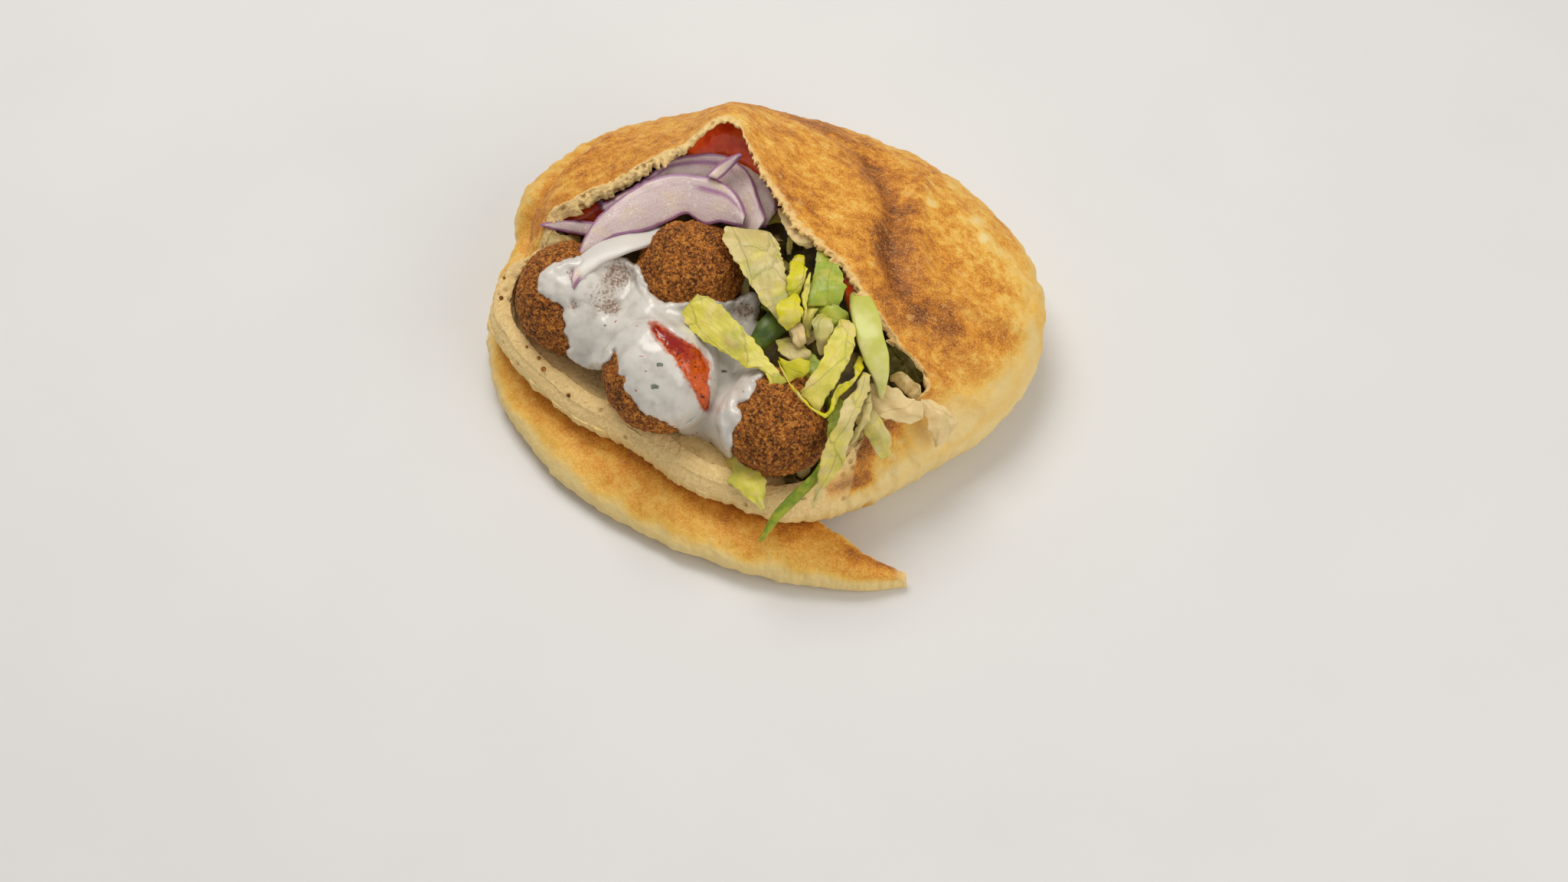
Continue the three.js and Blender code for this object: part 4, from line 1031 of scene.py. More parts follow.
def skin(angle, s):
    """The pocket's outer skin in the half plane at an angle, as radius and height. s runs 0 to 1
    over the flat base, to 2 round the rim as a quarter ellipse, and to 3 up the top layer to the
    mouth, along a cubic that leaves the rim upright and nears the mouth level."""
    rim_r, rim_z, mouth_r, mouth_z = parts(pocket_at(angle))
    lift = LIP_LIFT * window(angle, *ON_STRIP)
    flat = rim_r - RIM_BULGE

    def height(r):
        return lift * step(r / rim_r, 0.38, 0.85)

    base, low = flat * s, height(flat)
    a = (s - 1).clip(0, 1) * math.pi / 2
    reach = np.hypot(rim_r - mouth_r, mouth_z - rim_z)
    level = step(rim_r - mouth_r, 4, 24)
    rise = reach * lerp(0.5, 0.95, level)
    end_r, end_z = -reach * lerp(0.1, 0.75, level), reach * lerp(0.9, 0.42, level)
    u = (s - 2).clip(0, 1.1)
    h00, h10 = (1 + 2 * u) * (1 - u) ** 2, u * (1 - u) ** 2
    h01, h11 = u * u * (3 - 2 * u), -u * u * (1 - u)
    r = np.where(s <= 1, base, flat + RIM_BULGE * np.sin(a))
    z = np.where(s <= 1, height(base), low + (rim_z - low) * (1 - np.cos(a)))
    r = np.where(s > 2, h00 * rim_r + h01 * mouth_r + h11 * end_r, r)
    z = np.where(s > 2, h00 * rim_z + h10 * rise + h01 * mouth_z + h11 * end_z, z)
    return stack(r, z)


def wall(s):
    """Thickness of the bread at a place on its outline."""
    share = np.where(s < 2, (4 * s - 1) / 15, (7 + 8 * (s - 2)) / 15)
    return lerp(BREAD_FLOOR, BREAD_TOP, step(share, 0.4, 0.75))


def inset(profile, thickness):
    """An outline, (rows, columns, 2), moved inwards by a thickness."""
    return profile + thickness[..., None] * left_of(unit(np.gradient(profile, axis=0)))


def in_space(angle, profile, creases):
    """An outline in space: uneven above the base, and pressed in along the creases."""
    turn = np.radians(angle)
    out = stack(np.cos(turn), np.sin(turn))
    xy = POCKET_CENTRE + profile[..., :1] * out
    (x, y), z = parts(xy), profile[..., 1]
    soft = step(z, 2, 12)
    inwards = soft * folded(x, y, creases)
    z = z + soft * 0.8 * waves(x, y, z, 34, 2) - 0.5 * inwards
    return np.concatenate([xy - out * inwards[..., None], z[..., None]], -1)


def pocket_rings(settings, angle):
    """The pocket as one closed surface: up the outer skin, over the torn edge of the mouth and
    back down the inner skin, round all angles. Gives its rings, and how far on each point is:
    to 3 as s on the skin, to 4 over the edge, and 7 - s back inside."""
    thin, proud, ragged, short = parts(mouth_edge_at(angle))
    ragged = ragged * settings.tear / MM
    lip = window(angle, *LOWER_LIP)
    ring = stack(60 * np.cos(np.radians(angle)), 60 * np.sin(np.radians(angle)), 0)

    s = OUTER_ROWS[:, None] + 0 * angle
    outer = in_space(angle, skin(angle, s), CREASES)
    outer[..., 2] -= LIP_DROP * lip * step(s, 2.35, 3.1)
    onward = unit(outer[-1] - outer[-4])
    tear = ragged * layered(ring, (0.5, 8, 3), (0.55, 3, 4), (0.35, 1.5, 5))
    outer = outer + onward * (0.45 * tear * step(s, 2.9, 3) - short * step(s, 2.8, 3))[..., None]

    # Inside, the bread thins to the edge, and the lower lip is a ledge of crumb.
    s_in = INNER_ROWS[:, None] + 0 * angle
    thick = lerp(wall(s_in), thin, step(s_in, 2.55, 3))
    thick = thick + LIP_THICKER * lip * window(s_in, 0.9, 1.6, 2.6, 3)
    inner = in_space(angle, inset(skin(angle, s_in)[::-1], thick[::-1])[::-1], CREASES)
    mouth_r, mouth_z = parts(pocket_at(angle))[2:]
    from_edge = mouth_r - np.linalg.norm(inner[..., :2] - POCKET_CENTRE, axis=-1)
    ledge = mouth_z - 1.9 - 0.11 * from_edge.clip(0) - 20 * step(from_edge, 26, 44)
    inner[..., 2] = rounded_max(inner[..., 2], ledge * window(angle, *LEDGE), LEDGE_BLEND)
    frayed = 0.55 + 0.65 * step(noise(ring, 10, 21), -0.3, 0.5)
    teeth = 1.1 * np.abs(noise(ring, 2.3, 7)) - 0.35 + 0.6 * noise(ring, 1.1, 8)
    beyond = proud - short + ragged * (0.4 * noise(ring, 5, 6) + frayed * teeth)
    inner = inner + onward * (beyond * step(s_in, 2.75, 3))[..., None]

    # The cut face bulges a little between the two skins.
    v = np.linspace(0, 1, EDGE_ROWS + 2)[1:-1, None] + 0 * angle
    face = lerp(outer[-1], inner[0], v[..., None]) + onward * 0.7 * np.sin(math.pi * v)[..., None]
    return np.concatenate([outer, face, inner]), np.concatenate([s, 3 + v, 7 - s_in])


def pocket_tones(rings, on, angle):
    """How far each point is crumb and not crust, 0 to 1, and how toasted the crust is."""
    lip = window(angle, *LOWER_LIP)
    x, y, _ = parts(rings)
    start = lerp(2.97, 2.06, lip) + 0.012 * noise(rings, 2.2, 9) + lip * 0.03 * noise(rings, 9, 10)
    spotted = folded(x, y, LIP_TOAST)
    crumb = step(on, start, start + 0.03) * (1 - spotted * (on < 3.8)).clip(0)
    crumb = crumb * lerp(0.75, 1, np.maximum(window(angle, *TORN), on > 4.3))
    toast = 0.04 + 0.42 * step(on + 0.1 * noise(rings, 14, 10), 1.9, 2.4)
    toast = toast + folded(x, y, TOASTED) * step(on, 2.02, 2.25)
    blotches = step(layered(rings, (1, 4.6, 29), (0.5, 2, 30)), 0.05, 0.6)
    toast = toast - 0.2 * folded(x, y, BLOTCHED) * blotches * step(on, 2.1, 2.4)
    toast = toast - 0.12 * step(on, 2.94, 3) * (1 - lip) + 0.6 * spotted - 0.12 * lip
    return crumb, toast.clip(-0.1, 1)


def pocket_relief(settings, rings, on, angle, crumb):
    """How far each point stands out: folds, dimples, blisters and wrinkles of the crust, and
    the crumb's unevenness and pores. Gives the pores, 0 to 1, as well."""
    lip = window(angle, *LOWER_LIP)
    x, y, z = parts(rings)
    crust = settings.blister / MM * layered(
        rings, (1.5, 9, 11), (0.9, 3.6, 12), (0.4, 1.6, 13), (0.3, 0.8, 17))
    crust = crust + folded(x, y, FOLDS) * window(on, 2.0, 2.2, 2.94, 3)
    wrinkles = layered(stack(angle * 1.1, z * 0.25, 0), (1, 3.2, 18), (0.6, 1.5, 19))
    crust = crust + 0.6 * window(on, 1.2, 1.6, 2.15, 2.5) * wrinkles
    distance, drawn = grains(rings, 2.1, 14)
    pores = step(0.5 - distance, 0, 0.25) * (drawn > lerp(0.5, 0.93, lip))
    torn = layered(rings, (0.3, 2.8, 15), (0.22, 1.2, 16)) - 0.8 * pores
    torn = lerp(torn, 0.5 * noise(rings, 9, 15) - 0.4 * pores, 0.85 * lip)
    return step(z, 1.0, 6.0) * lerp(crust, torn, crumb), pores


def pocket_shape(settings):
    """The pocket, with its relief along the normals of its rings."""
    angle = np.linspace(0, 360, POCKET_COLUMNS, endpoint=False)[None, :]
    rings, on = pocket_rings(settings, angle)
    crumb, toast = pocket_tones(rings, on, angle)
    relief, pores = pocket_relief(settings, rings, on, angle, crumb)
    rings = rings + ring_normals(rings) * relief[..., None]
    first = np.array([*POCKET_CENTRE, 0.0])
    return tube(rings, first, first + (0, 0, BREAD_FLOOR), crumb=crumb, toast=toast, pore=pores)


# ---------------------------------------------------------------- the cut strip
STRIP_ROWS = 480
STRIP_COLUMNS = 120


def strip_shape(settings):
    """The cut strip: its section carried along its outer edge, rough at the torn tip."""
    tip = len(STRIP) - 1
    t = np.linspace(0, tip, STRIP_ROWS)[:, None]
    along = spline([(i, *row) for i, row in enumerate(STRIP)])
    x, y, width, thick = parts(along(t))
    way = along(np.minimum(t + 0.05, tip)) - along(np.maximum(t - 0.05, 0))
    across, up = closed_curve(STRIP_SECTION, np.linspace(0, 1, STRIP_COLUMNS, endpoint=False)).T
    up = up.clip(0, 1)
    x, y = parts(stack(x, y) + left_of(unit(way[..., :2])) * (width * across)[..., None])
    z = thick * up
    rings = stack(x, y, z + np.where(up > 0.3, 0.8, 0) * waves(x, y, z, 26, 5))

    cut = step(across, 0.9, 0.99) * (up > 0.1)
    crumb = np.maximum(cut, step(t, tip - 0.3, tip) * (up > 0.05))
    top = step(up + 0.12 * noise(rings, 12, 20), 0.66, 0.97)
    brown = 0.3 + 0.3 * step(across + 0.15 * noise(rings, 14, 21), 0.25, 0.8)
    toast = 0.06 + top * brown
    relief = settings.blister / MM * layered(
        rings, (1.2, 9, 22), (0.9, 3.4, 23), (0.4, 1.6, 24), (0.3, 0.8, 27))
    wrinkles = layered(stack(t * 22, z * 0.3, 0), (1, 4, 25), (0.5, 1.8, 28))
    relief = relief + 0.5 * (1 - top) * wrinkles + crumb * 0.5 * noise(rings, 1.8, 26)
    rings = rings + ring_normals(rings) * (relief * step(z, 0.6, 3.5))[..., None]
    return tube(rings, rings[0].mean(0), rings[-1].mean(0), crumb=crumb, toast=toast.clip(0, 1))


# ---------------------------------------------------------------- falafels
def ball_lumps(way, centre):
    """How far a falafel's lumps, 24 mm and 7 mm long, stand out in a direction from its middle."""
    x, y, z = parts(way * 18)
    return 0.7 * waves(x, y, z, 24, centre[0]) + 0.35 * waves(x, y, z, 7, centre[1]) - 0.4


def falafel_shape(centre, radius, squash, depth, rows=236, columns=380):
    """A ball by latitude and longitude, lumpy at 24 mm and 7 mm, with crags: three sizes of
    grain, the larger two standing out by a drawn amount and all rounded off towards their
    edges, over noise at halving lengths."""
    turn = np.linspace(0, math.pi, rows + 2)[1:-1, None]
    round_ = np.linspace(0, 2 * math.pi, columns, endpoint=False)
    ball = stack(np.sin(turn) * np.cos(round_), np.sin(turn) * np.sin(round_), -np.cos(turn))
    here = ball * radius + np.array(centre)
    far_big, big = grains(here, 1.7, 1)
    far_mid, mid = grains(here, 0.9, 2)
    far_small, small = grains(here, 0.55, 3)
    crag = (big - 0.5) * 0.6 + 0.5 * (0.6 - far_big) + (mid - 0.5) * 0.55 + 0.4 * (0.6 - far_mid)
    crag = crag + 0.35 * (0.6 - far_small)
    crag = crag + 0.5 * layered(here, (1, 3.0, 3), (0.5, 1.5, 4), (0.25, 0.75, 5))
    crumb_share = min(1, radius / 10)
    r = radius + (ball_lumps(ball, centre) + 0.75 * depth * crag) * crumb_share
    rings = np.array(centre) + ball * r[..., None] * (1, 1, squash)
    ends = [np.array(centre) + (0, 0, sign * radius * squash) for sign in (-1, 1)]
    return tube(rings, *ends, height=crag.clip(-1.5, 1.5), grain=small, lump=mid)


# ---------------------------------------------------------------- sauces
SHEET = np.array([
    [1, 0, 0],
    [0, math.sin(SHEET_TILT), math.cos(SHEET_TILT)],
    [0, -math.cos(SHEET_TILT), math.sin(SHEET_TILT)],
])


def layer_height(p, q, over):
    """Height off the sheet of a layer that swells the falafels by over, and between them fills
    the hollows to the dip and its hills, blended where they meet."""
    height = SAUCE_DIP + over + hills(p, q, SAUCE_HILLS)
    for _, centre, radius, _ in FALAFELS:
        cp, cq, ch = SHEET @ np.array(centre)
        dp, dq = p - cp, q - cq
        rise = np.sqrt((radius**2 - dp**2 - dq**2).clip(0)) + 0.01
        swollen = radius + ball_lumps(unit(stack(dp, dq, rise)) @ SHEET, centre) + over
        out = np.hypot(dp, dq)
        # Beyond its rim a ball's height goes on down along a steep slope.
        ball = ch + np.sqrt((swollen**2 - out**2).clip(0)) - 3 * (out - swollen).clip(0)
        height = rounded_max(ball, height, SAUCE_BLEND)
    return height


def inside_depth(p, q, outline):
    """How far points of the sheet are inside a smooth closed outline; below 0 outside it."""
    loop = closed_curve(outline, np.linspace(0, 1, 5 * len(outline)))
    within = np.zeros(p.shape, bool)
    for (ax, ay), (bx, by) in zip(loop, loop[1:]):
        within ^= ((ay > q) != (by > q)) & (p < ax + (q - ay) * (bx - ax) / (by - ay + 1e-12))
    distance = line_distance(p, q, loop)
    return np.where(within, distance, -distance)


def coating(outline, front, back, pitch, ragged):
    """A closed coat over part of the sheet, inside a roughened outline. Front and back give how
    far each face lies over the falafels at a place of the sheet and a depth inside. They meet
    at the rim, and corners beyond it are drawn back to it. Gives its points' places as well."""
    low, high = np.array(outline).min(0) - 3, np.array(outline).max(0) + 3
    p, q = np.meshgrid(*[np.arange(a, b, pitch) for a, b in zip(low, high)], indexing="ij")
    depth = inside_depth(p, q, outline)
    depth = depth + ragged * layered(stack(p, q, 0), (0.5, 4, 31), (0.45, 1.7, 32))
    depth = np.minimum(depth, 12)
    slope_p, slope_q = np.gradient(depth, pitch)
    back_off = (SAUCE_RIM - depth) / (slope_p**2 + slope_q**2 + 0.05)
    outside = depth < SAUCE_RIM
    p = np.where(outside, p + np.clip(back_off * slope_p, -pitch, pitch), p)
    q = np.where(outside, q + np.clip(back_off * slope_q, -pitch, pitch), q)
    depth = np.where(outside, SAUCE_RIM, depth)
    faces = [
        stack(p, q, layer_height(p, q, face(p, q, depth))) @ SHEET for face in (front, back)
    ]

    rows, columns = p.shape
    i, j = np.meshgrid(np.arange(rows - 1), np.arange(columns - 1), indexing="ij")
    a = (i * columns + j).ravel()
    corners = np.stack([a, a + columns, a + columns + 1, a + 1], -1)
    kept = corners[(~outside.ravel()[corners]).any(-1)]
    turned = kept[:, ::-1]
    turned = np.where(outside.ravel()[turned], turned, turned + rows * columns)
    used, index = np.unique(np.concatenate([kept, turned]), return_inverse=True)
    points = np.concatenate([face.reshape(-1, 3) for face in faces])[used]
    p, q, depth = [np.concatenate([v.ravel()] * 2)[used] for v in (p, q, depth)]
    return Shape(points, index.reshape(-1, 4), np.zeros((0, 3), int), {"depth": depth}), p, q


def rounding(depth):
    """0 at a coat's rim and nearing 1 within about a millimetre inside it."""
    return 1 - np.exp(SAUCE_RIM - depth)


def sauce_top(p, q, depth, full):
    """How far the top of the yoghurt is over the crust: full inside and rounding off at its
    edge, with soft folds, and less where it is smeared."""
    flat = stack(p, q, 0)
    thick = full * 0.42 + 0.4 * noise(flat, 11, 33) + 0.16 * noise(flat * (1, 0.5, 1), 4.5, 34)
    turned = flat @ np.array([[0.8, 0.6, 0], [-0.6, 0.8, 0], [0, 0, 1]])
    thick = thick + 0.3 * noise(turned * (0.25, 1, 1), 3.4, 36) + 0.06 * noise(flat, 1.8, 37)
    thick = thick - 1.3 * step(depth, 0, 3) * hills(p, q, SMEARS)
    return SAUCE_DIVE + (thick - SAUCE_DIVE) * rounding(depth)


def yoghurt_shape(settings):
    """Yoghurt over the falafels, with a groove for the chilli sauce."""
    def front(p, q, depth):
        groove = 1.1 * step(inside_depth(p, q, CHILLI_EDGE), -1.0, 1.0)
        return sauce_top(p, q, depth, settings.depth / MM) - groove

    def back(p, q, depth):
        return SAUCE_DIVE - 1.5 * step(depth, SAUCE_RIM, 1)

    shape, p, q = coating(SAUCE_EDGE, front, back, 0.34, 1.0)
    shape.values["smear"] = hills(p, q, SMEARS).clip(0, 1)
    shape.values["chilli"] = inside_depth(p, q, CHILLI_EDGE).clip(-3, 3)
    return shape


def chilli_shape(settings):
    """Chilli sauce: a thin lens that stands a little proud of its groove."""
    bottom = settings.depth / MM * 0.42 - 1.3

    def front(p, q, depth):
        return bottom + 1.5 * rounding(depth) + 0.25 * noise(stack(p, q, 0), 2.6, 35)

    def back(p, q, depth):
        return bottom - 0.8 * step(depth, SAUCE_RIM, 1)

    shape, _, q = coating(CHILLI_EDGE, front, back, 0.22, 1.5)
    shape.values["down"] = step(-q, -8, 16)
    return shape


def herb_shape(settings):
    """Small flakes of herb that lie on the yoghurt."""
    flakes = []
    for p, q, size in HERB_FLECKS:
        corners = np.array(HERB_FLAKE) * size + (p, q)
        over = sauce_top(*corners.T, np.full(len(corners), 6.0), settings.depth / MM)
        points = stack(*corners.T, layer_height(*corners.T, over)) @ SHEET
        flakes.append(slab(points[:3], points[3:], 0.3, ragged=0.3, pace=0.12, seed=p))
    return Shape.joined(flakes)


# ---------------------------------------------------------------- bands and slices
VIEWED = np.array([0, -0.56, 0.83])  # the side that slices and shreds turn up


def slab(upper, lower, thick, cup=0.0, ruffle=0.0, ragged=0.0, crinkle=0.0, frill=0.0,
         crisp=0.0, roundness=4, pace=0.5, seed=0.0, **values):
    """A closed slab between two edges, straight from point to point by the share crisp. c runs
    -1 to 1 across it. Its middle is lifted by cup (1 - c^2) + ruffle c sin(9t + 2c)
    + frill |c|^3 sin(along / 1.1 mm), and half its thickness is
    thick/2 (1 - |c|^roundness)^(1/roundness). A short slab is crinkled less."""
    def edge_at(points, t):
        at = np.linspace(0, 1, len(points))
        straight = stack(*[np.interp(t, at, row) for row in np.array(points, float).T])
        return lerp(curve(points, t), straight, crisp)

    span = [edge_at(edge, np.linspace(0, 1, 200)) for edge in (upper, lower)]
    reach = np.linalg.norm(np.diff((span[0] + span[1]) / 2, axis=0), axis=-1).sum()
    width = np.linalg.norm(span[0] - span[1], axis=-1).max()
    crinkle = crinkle * min(1, reach / LONG_LEAF)
    rows, columns = max(12, round(reach / pace)), max(8, round(width / pace * 0.9))
    t = np.linspace(0, 1, rows)
    a, b = edge_at(upper, t), edge_at(lower, t)
    middle, half = (a + b) / 2, (a - b) / 2
    wide = np.linalg.norm(half, axis=-1)[:, None]
    out = unit(np.cross(half, np.gradient(middle, axis=0)))
    out = unit(sum(np.roll(out, k, 0) for k in (-2, -1, 0, 1, 2)) if crisp else out)
    facing = np.where(out @ VIEWED < 0, -1.0, 1.0)[:, None]
    c = np.sin(np.linspace(-math.pi / 2, math.pi / 2, columns))
    c = np.concatenate([c, c[::-1][1:-1]])
    side = np.concatenate([np.ones(columns), -np.ones(columns - 2)])
    t = t[:, None]
    length = np.linalg.norm(np.diff(middle, axis=0), axis=-1)
    along = np.concatenate([[0], np.cumsum(length)])[:, None]
    edge = stack(along, 40 * np.sign(c), seed)
    jag = layered(edge, (1, 4.5, 41), (0.8, 1.6, 42))
    spread = c * (1 + ragged * np.abs(c) ** 3 * jag / (wide + 0.5))
    lift = cup * (1 - c * c) + ruffle * c * np.sin(9 * t + 2 * c + seed)
    lift = lift + frill * np.abs(c) ** 3 * np.sin(along / 1.1 + 2 * np.sign(c) + 5 * seed)
    body = thick / 2 * (1 - np.abs(c) ** roundness) ** (1 / roundness)
    ends = np.minimum(1, 0.25 + 12 * np.minimum(t, 1 - t))
    points = middle[:, None] + half[:, None] * spread[..., None]
    folds = 0.9 * noise(points, 6.5, seed) + 0.5 * (0.3 - np.abs(noise(points, 5, seed + 1)))
    lift = facing * lift + crinkle * (folds + 0.18 * noise(points, 1.8, seed + 2))
    rings = points + out[:, None] * (lift + side * body * ends)[..., None]
    carried = {
        "along": along, "aside": wide * c, "drawn": seed % 1.0, "inside": wide * (1 - np.abs(c))
    } | {key: value(t, c) for key, value in values.items()}
    return tube(rings, rings[0].mean(0), rings[-1].mean(0), **carried)


def edges_of(line, width):
    """The two edges of a band along a line that turns its face up."""
    t = np.linspace(0, 1, 4 * len(line))
    points = curve(line, t)
    side = unit(np.cross(VIEWED, np.gradient(points, axis=0)))
    half = spline([(i / (len(width) - 1), w) for i, w in enumerate(width)])(t) / 2
    return points - side * half, points + side * half


# ---------------------------------------------------------------- salad
HEAP_ROWS = 34
HEAP_COLUMNS = 150
WALL_ROWS = HEAP_ROWS // 2
CLEARANCE = 1.1  # between the heap and the bread


def salad_core():
    """The heap under the shreds: up the inside of the pocket a clearance away, then over the
    bed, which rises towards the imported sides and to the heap."""
    angle = np.linspace(0, 360, HEAP_COLUMNS, endpoint=False)[None, :]
    low_s, high_s, samples = 0.08, 3, 120
    s = np.linspace(low_s, high_s, samples)[:, None] + 0 * angle
    inside = inset(skin(angle, s), wall(s) + CLEARANCE)
    packed, shoulder = parts(spline(PACKING, closed=True)(angle))
    # A share of the outline counts its 16 stations: 4 on the base, 4 round the rim, 8 above.
    station = np.linspace(0.1, 1, WALL_ROWS)[:, None] * packed * 15
    at = np.where(station <= 7, (station + 1) / 4, 2 + (station - 7) / 8)
    place = (at - low_s) / (high_s - low_s) * (samples - 1)
    low = np.clip(place.astype(int), 0, samples - 2)
    column = np.arange(HEAP_COLUMNS)
    side = lerp(inside[low, column], inside[low + 1, column], (place - low)[..., None])
    r, z = parts(side[-1])
    inward = np.linspace(1, 0.04, HEAP_ROWS)[1:, None]
    rise = BED_HEIGHT + (z - BED_HEIGHT) * step(inward, 0, 1) ** (1 + 3 * shoulder)
    rings = in_space(angle, np.concatenate([side, stack(r * inward, rise)]), [])
    away = np.linalg.norm(rings[..., :2] - HEAP_CENTRE, axis=-1) / HEAP_REACH
    piled = lerp(BED_HEIGHT, HEAP_HEIGHT, np.exp(-away * away))
    on_top = np.arange(len(rings))[:, None] >= WALL_ROWS
    rings[..., 2] = np.where(on_top, np.maximum(rings[..., 2], piled), rings[..., 2])
    return rings + ring_normals(rings) * (on_top * 1.2 * noise(rings, 6, 51))[..., None]


def leaf_shapes(settings):
    """Cut leaves by kind: the ones that show, ones deeper down, and small ones strewn over the
    heap under them."""
    shapes = {kind: [] for kind in KINDS}
    for number, (kind, one, other) in enumerate(LEAVES):
        shapes[kind].append(slab(
            one, other, LEAF, cup=0.4, ruffle=0.3, ragged=0.75, crinkle=0.75, frill=0.3,
            crisp=0.75, roundness=8, seed=1.37 * number + 0.21))
    for number, (line, width, kind) in enumerate(SHREDS):
        shapes[kind].append(slab(
            *edges_of(line, width), LEAF, cup=0.6, ruffle=0.7, ragged=0.8, crinkle=0.7, frill=0.4,
            roundness=8, seed=1.73 * number + 40.1))
    rings = salad_core()
    draw = np.random.default_rng(11)
    for number in range(settings.fill):
        row = draw.integers(WALL_ROWS - 3, len(rings) - 6)
        start = rings[row, draw.integers(0, HEAP_COLUMNS)]
        turn, long, wide = draw.uniform(0, 2 * math.pi), draw.uniform(7, 15), draw.uniform(2, 5)
        way = np.array([math.cos(turn), math.sin(turn), draw.uniform(-0.15, 0.25)])
        t = np.linspace(-0.5, 0.5, 5)[:, None]
        bow = (0.25 - t * t) * (0, 0, draw.uniform(3, 9))
        line = start + way * t * long + bow + (0, 0, 0.3)
        kind = KINDS[draw.choice(6, p=[0.25, 0.25, 0.06, 0.14, 0.14, 0.16])]
        under_sauce = start[0] + 0.6 * start[1] < -32 and start[1] < 4
        if not under_sauce:
            widths = [wide * 0.9, wide, wide, wide * 0.8]
            shapes[kind].append(slab(
                *edges_of(line, widths), LEAF, cup=0.5, ruffle=0.6, ragged=0.7, crinkle=0.6,
                roundness=8, pace=0.6, seed=0.73 * number + 0.4))
    return shapes


# ---------------------------------------------------------------- operators
class PITA_OT_bread(bpy.types.Operator):
    """Make the pocket of bread and the strip that was cut from it"""

    bl_idname = "pita.bread"
    bl_label = "Bread"

    def execute(self, context):
        settings = context.scene.pita.bread
        finish = bread_finish(settings, "bread", -20, 1.35, 1.0)
        make_piece("bread_pocket", pocket_shape(settings), finish, ["pita_bread"])
        finish = bread_finish(settings, "bread_strip", -40, 1.3, 0.6)
        make_piece("bread_strip", strip_shape(settings), finish, ["pita_bread"])
        return {"FINISHED"}


class PITA_OT_falafels(bpy.types.Operator):
    """Make the four falafels"""

    bl_idname = "pita.falafels"
    bl_label = "Falafels"

    def execute(self, context):
        settings = context.scene.pita.falafel
        finish = falafel_finish(settings)
        depth = settings.depth / MM
        for name, centre, radius, squash in FALAFELS:
            shape = falafel_shape(centre, radius, squash, depth)
            make_piece(name + "_crust", shape, finish, [name])
        crumbs = [falafel_shape((x, y, z), r, 0.8, depth, 12, 16) for x, y, z, r in CRUMBS]
        make_piece("falafel_crumbs", Shape.joined(crumbs), finish, [])
        return {"FINISHED"}


class PITA_OT_sauces(bpy.types.Operator):
    """Make the yoghurt and the chilli sauce"""

    bl_idname = "pita.sauces"
    bl_label = "Sauces"

    def execute(self, context):
        settings = context.scene.pita.sauce
        yoghurt = yoghurt_finish(settings, context.scene.pita.falafel.crust)
        make_piece("yoghurt", yoghurt_shape(settings), yoghurt, ["yoghurt_sauce"])
        chilli = chilli_finish(settings)
        make_piece("chilli", chilli_shape(settings), chilli, ["chilli_sauce"])
        herb = plain_food_finish(
            "herb", settings.herb, tone(140, 146, 124), 1.5, 0.5, 0.0, (0.6, 1.0, 0.3))
        make_piece("herb_flakes", herb_shape(settings), herb, [])
        return {"FINISHED"}


def onion_shape(number, name, upper, lower):
    """A slice of onion with its purple inner layer, if it has one, and sauce if it is sauced."""
    small = len(upper) < 6
    across, start, end = ONION_LINES.get(name, (9, 0, 0))
    sauced = 0.95 * (name == "onion_sauced")

    def line(t, c):
        shown = window(t, start, start + 0.1, end - 0.1, end + 1e-3)
        return shown * np.exp(-(((c - across) * 8) ** 2))

    def coated(t, c):
        return sauced * step(t + 0.1 * np.abs(c), 0.2, 0.35)

    return slab(
        upper, lower, 1.0 if small else 1.4, cup=0.4 if small else 0.9, ruffle=0.15, ragged=0.15,
        crinkle=0.2, roundness=6, pace=0.4, seed=number + 0.3, line=line, coated=coated)


class PITA_OT_vegetables(bpy.types.Operator):
    """Make the onion slices, tomato, cucumber and spring onion"""

    bl_idname = "pita.vegetables"
    bl_label = "Sliced vegetables"

    def execute(self, context):
        settings = context.scene.pita.vegetables
        finish = onion_finish(settings, context.scene.pita.sauce.yoghurt)
        for number, (name, upper, lower) in enumerate(ONIONS):
            shape = onion_shape(number, name, upper, lower)
            make_piece(name + "_slice", shape, finish, [name])
        flesh = plain_food_finish(
            "tomato", settings.tomato, tone(228, 56, 12), 5, 0.15, 0.6, (1.0, 0.2, 0.05))
        for name, line, width in TOMATOES:
            shape = slab(*edges_of(line, width), 4, cup=1.5, ragged=0.3, crinkle=0.5, seed=len(name))
            make_piece(name + "_piece", shape, flesh, [name])
        pale = plain_food_finish(
            "cucumber", settings.cucumber, tone(222, 216, 140), 9, 0.35, 0.2, (0.8, 1.0, 0.3))
        shape = slab(*CUCUMBER_PALE, 3.5, cup=0.3, ragged=0.1, crinkle=0.15, roundness=7, seed=3)
        make_piece("cucumber_pale_piece", shape, pale, ["cucumber_pale"])
        dark = plain_food_finish(
            "cucumber_skin", settings.skin, tone(108, 130, 36), 5, 0.38, 0.08, (0.5, 1.0, 0.2))
        shape = slab(*edges_of(*CUCUMBER_DARK), 3, cup=1, crinkle=0.15, roundness=3, seed=4)
        make_piece("cucumber_dark_piece", shape, dark, ["cucumber_dark"])
        stalk = plain_food_finish(
            "stalk", settings.stalk, tone(164, 170, 36), 4, 0.35, 0.1, (1.0, 1.0, 0.3))
        shape = slab(*edges_of(*SPRING_ONION), 1.4, cup=0.3, ragged=0.1, crinkle=0.2,
                     roundness=2.5, pace=0.4)
        make_piece("spring_onion_strand", shape, stalk, ["spring_onion"])
        return {"FINISHED"}


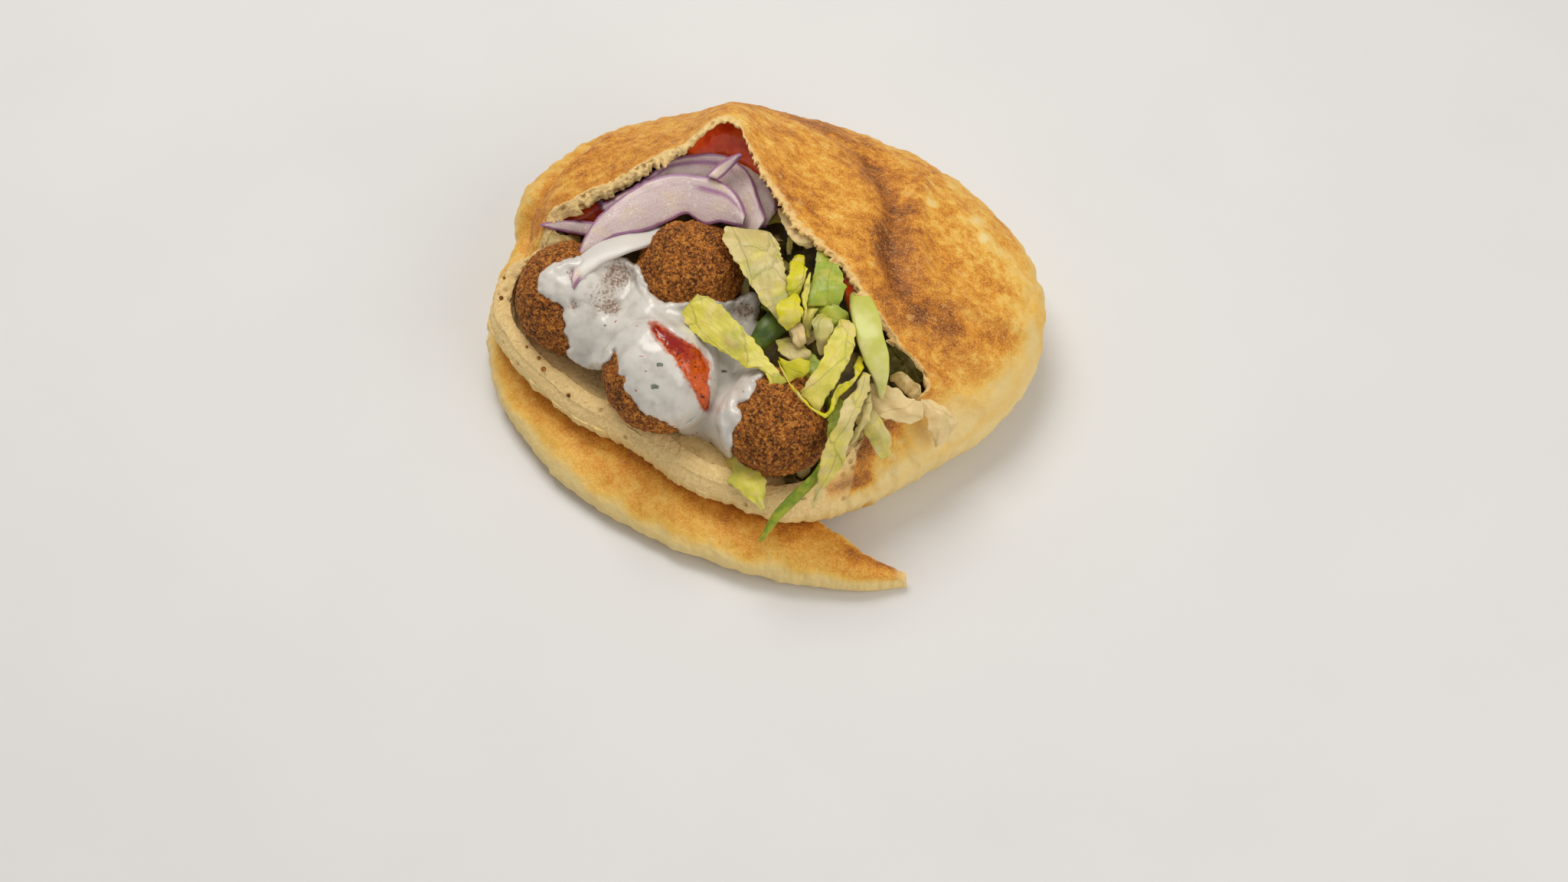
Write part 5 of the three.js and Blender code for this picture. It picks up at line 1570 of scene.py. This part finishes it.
class PITA_OT_salad(bpy.types.Operator):
    """Make the shredded salad over its heap"""

    bl_idname = "pita.salad"
    bl_label = "Salad"

    def execute(self, context):
        settings = context.scene.pita.salad
        for kind, shapes in leaf_shapes(settings).items():
            finish = leaf_finish(settings, kind)
            make_piece("lettuce_" + kind, Shape.joined(shapes), finish, ["salad"])
        # The heap shows only in the gaps between the shreds, so it is coloured dark: painted shade for the
        # depths of the salad.
        under = plain_food_finish(
            "salad_heap_shaded", tone(76, 64, 20), tone(136, 118, 52), 5, 0.5, 0.0, (0.6, 1.0, 0.2))
        rings = salad_core()
        first = np.array([*POCKET_CENTRE, BREAD_FLOOR + CLEARANCE])
        make_piece("salad_heap_shaded", tube(rings, first, rings[-1].mean(0)), under, ["salad"])
        return {"FINISHED"}


class PITA_OT_stage(bpy.types.Operator):
    """Make the floor, the soft lights and the camera"""

    bl_idname = "pita.stage"
    bl_label = "Stage"

    AIM = (6.0, -33.0, 0.0)  # where the camera's axis meets the floor
    LAMP_AIM = (0, 0, 0.03)
    LAMP_COLOUR = (1.0, 0.965, 0.92)
    LAMPS = [  # name, place in metres, size, share of the key light's power
        ("key", (-0.2, 0.4, 1.0), 0.6, 1.0),
        ("fill", (0.75, -0.55, 0.65), 0.9, 0.68),
    ]
    SKY_COLOUR = (0.98, 0.98, 1, 1)
    SKY_STRENGTH = 0.34

    def execute(self, context):
        scene = context.scene
        settings = scene.pita.stage
        scene.view_settings.view_transform = "Standard"

        scene.world = bpy.data.worlds.new("studio")
        scene.world.use_nodes = True
        sky = scene.world.node_tree.nodes["Background"].inputs
        sky["Color"].default_value = self.SKY_COLOUR
        sky["Strength"].default_value = self.SKY_STRENGTH

        for name, place, size, share in self.LAMPS:
            light = bpy.data.lights.new(name, "AREA")
            light.energy, light.size, light.color = settings.key * share, size, self.LAMP_COLOUR
            lamp = bpy.data.objects.new(name, light)
            lamp.location = place
            # An area light shines along its -Z.
            x, y, z = np.array(self.LAMP_AIM) - place
            lamp.rotation_euler = (math.atan2(math.hypot(x, y), -z), 0, math.atan2(-x, y))
            scene.collection.objects.link(lamp)

        back = settings.height / math.tan(settings.elevation)
        camera = bpy.data.objects.new("camera", bpy.data.cameras.new("camera"))
        camera.data.lens, camera.data.sensor_width = settings.lens, 36
        camera.location = (self.AIM - MIDDLE) * MM + (0, -back, settings.height)
        camera.rotation_euler = (math.pi / 2 - settings.elevation, 0, 0)
        scene.collection.objects.link(camera)
        scene.camera = camera

        bpy.ops.mesh.primitive_plane_add(size=6)
        floor = context.object
        floor.name = "floor"
        look = Finish("floor", Roughness=0.6, Specular_IOR_Level=0.3)
        look.feed(Base_Color=look.mix(settings.floor, tone(226, 225, 223), look.noise(60, 3)))
        floor.data.materials.append(look.material)
        return {"FINISHED"}


class PITA_PT_panel(bpy.types.Panel):
    """Lists the pita's pieces and settings"""

    bl_label = "Falafel Pita"
    bl_idname = "PITA_PT_panel"
    bl_space_type = "VIEW_3D"
    bl_region_type = "UI"
    bl_category = "Pita"

    def draw(self, context):
        for operator in OPERATORS:
            self.layout.operator(operator.bl_idname)
        for name, group in GROUPS.items():
            box = self.layout.box()
            box.label(text=name.capitalize())
            for key in group.__annotations__:
                box.prop(getattr(context.scene.pita, name), key)


OPERATORS = (
    PITA_OT_stage,
    PITA_OT_bread,
    PITA_OT_falafels,
    PITA_OT_sauces,
    PITA_OT_vegetables,
    PITA_OT_salad,
)
CLASSES = (*GROUPS.values(), PITA_PG_settings, *OPERATORS, PITA_PT_panel)


def register():
    for cls in CLASSES:
        bpy.utils.register_class(cls)
    bpy.types.Scene.pita = bpy.props.PointerProperty(type=PITA_PG_settings)


def unregister():
    del bpy.types.Scene.pita
    for cls in reversed(CLASSES):
        bpy.utils.unregister_class(cls)


def main():
    register()
    bpy.ops.pita.stage()
    bpy.ops.pita.bread()
    bpy.ops.pita.falafels()
    bpy.ops.pita.sauces()
    bpy.ops.pita.vegetables()
    bpy.ops.pita.salad()


if __name__ == "__main__":
    main()
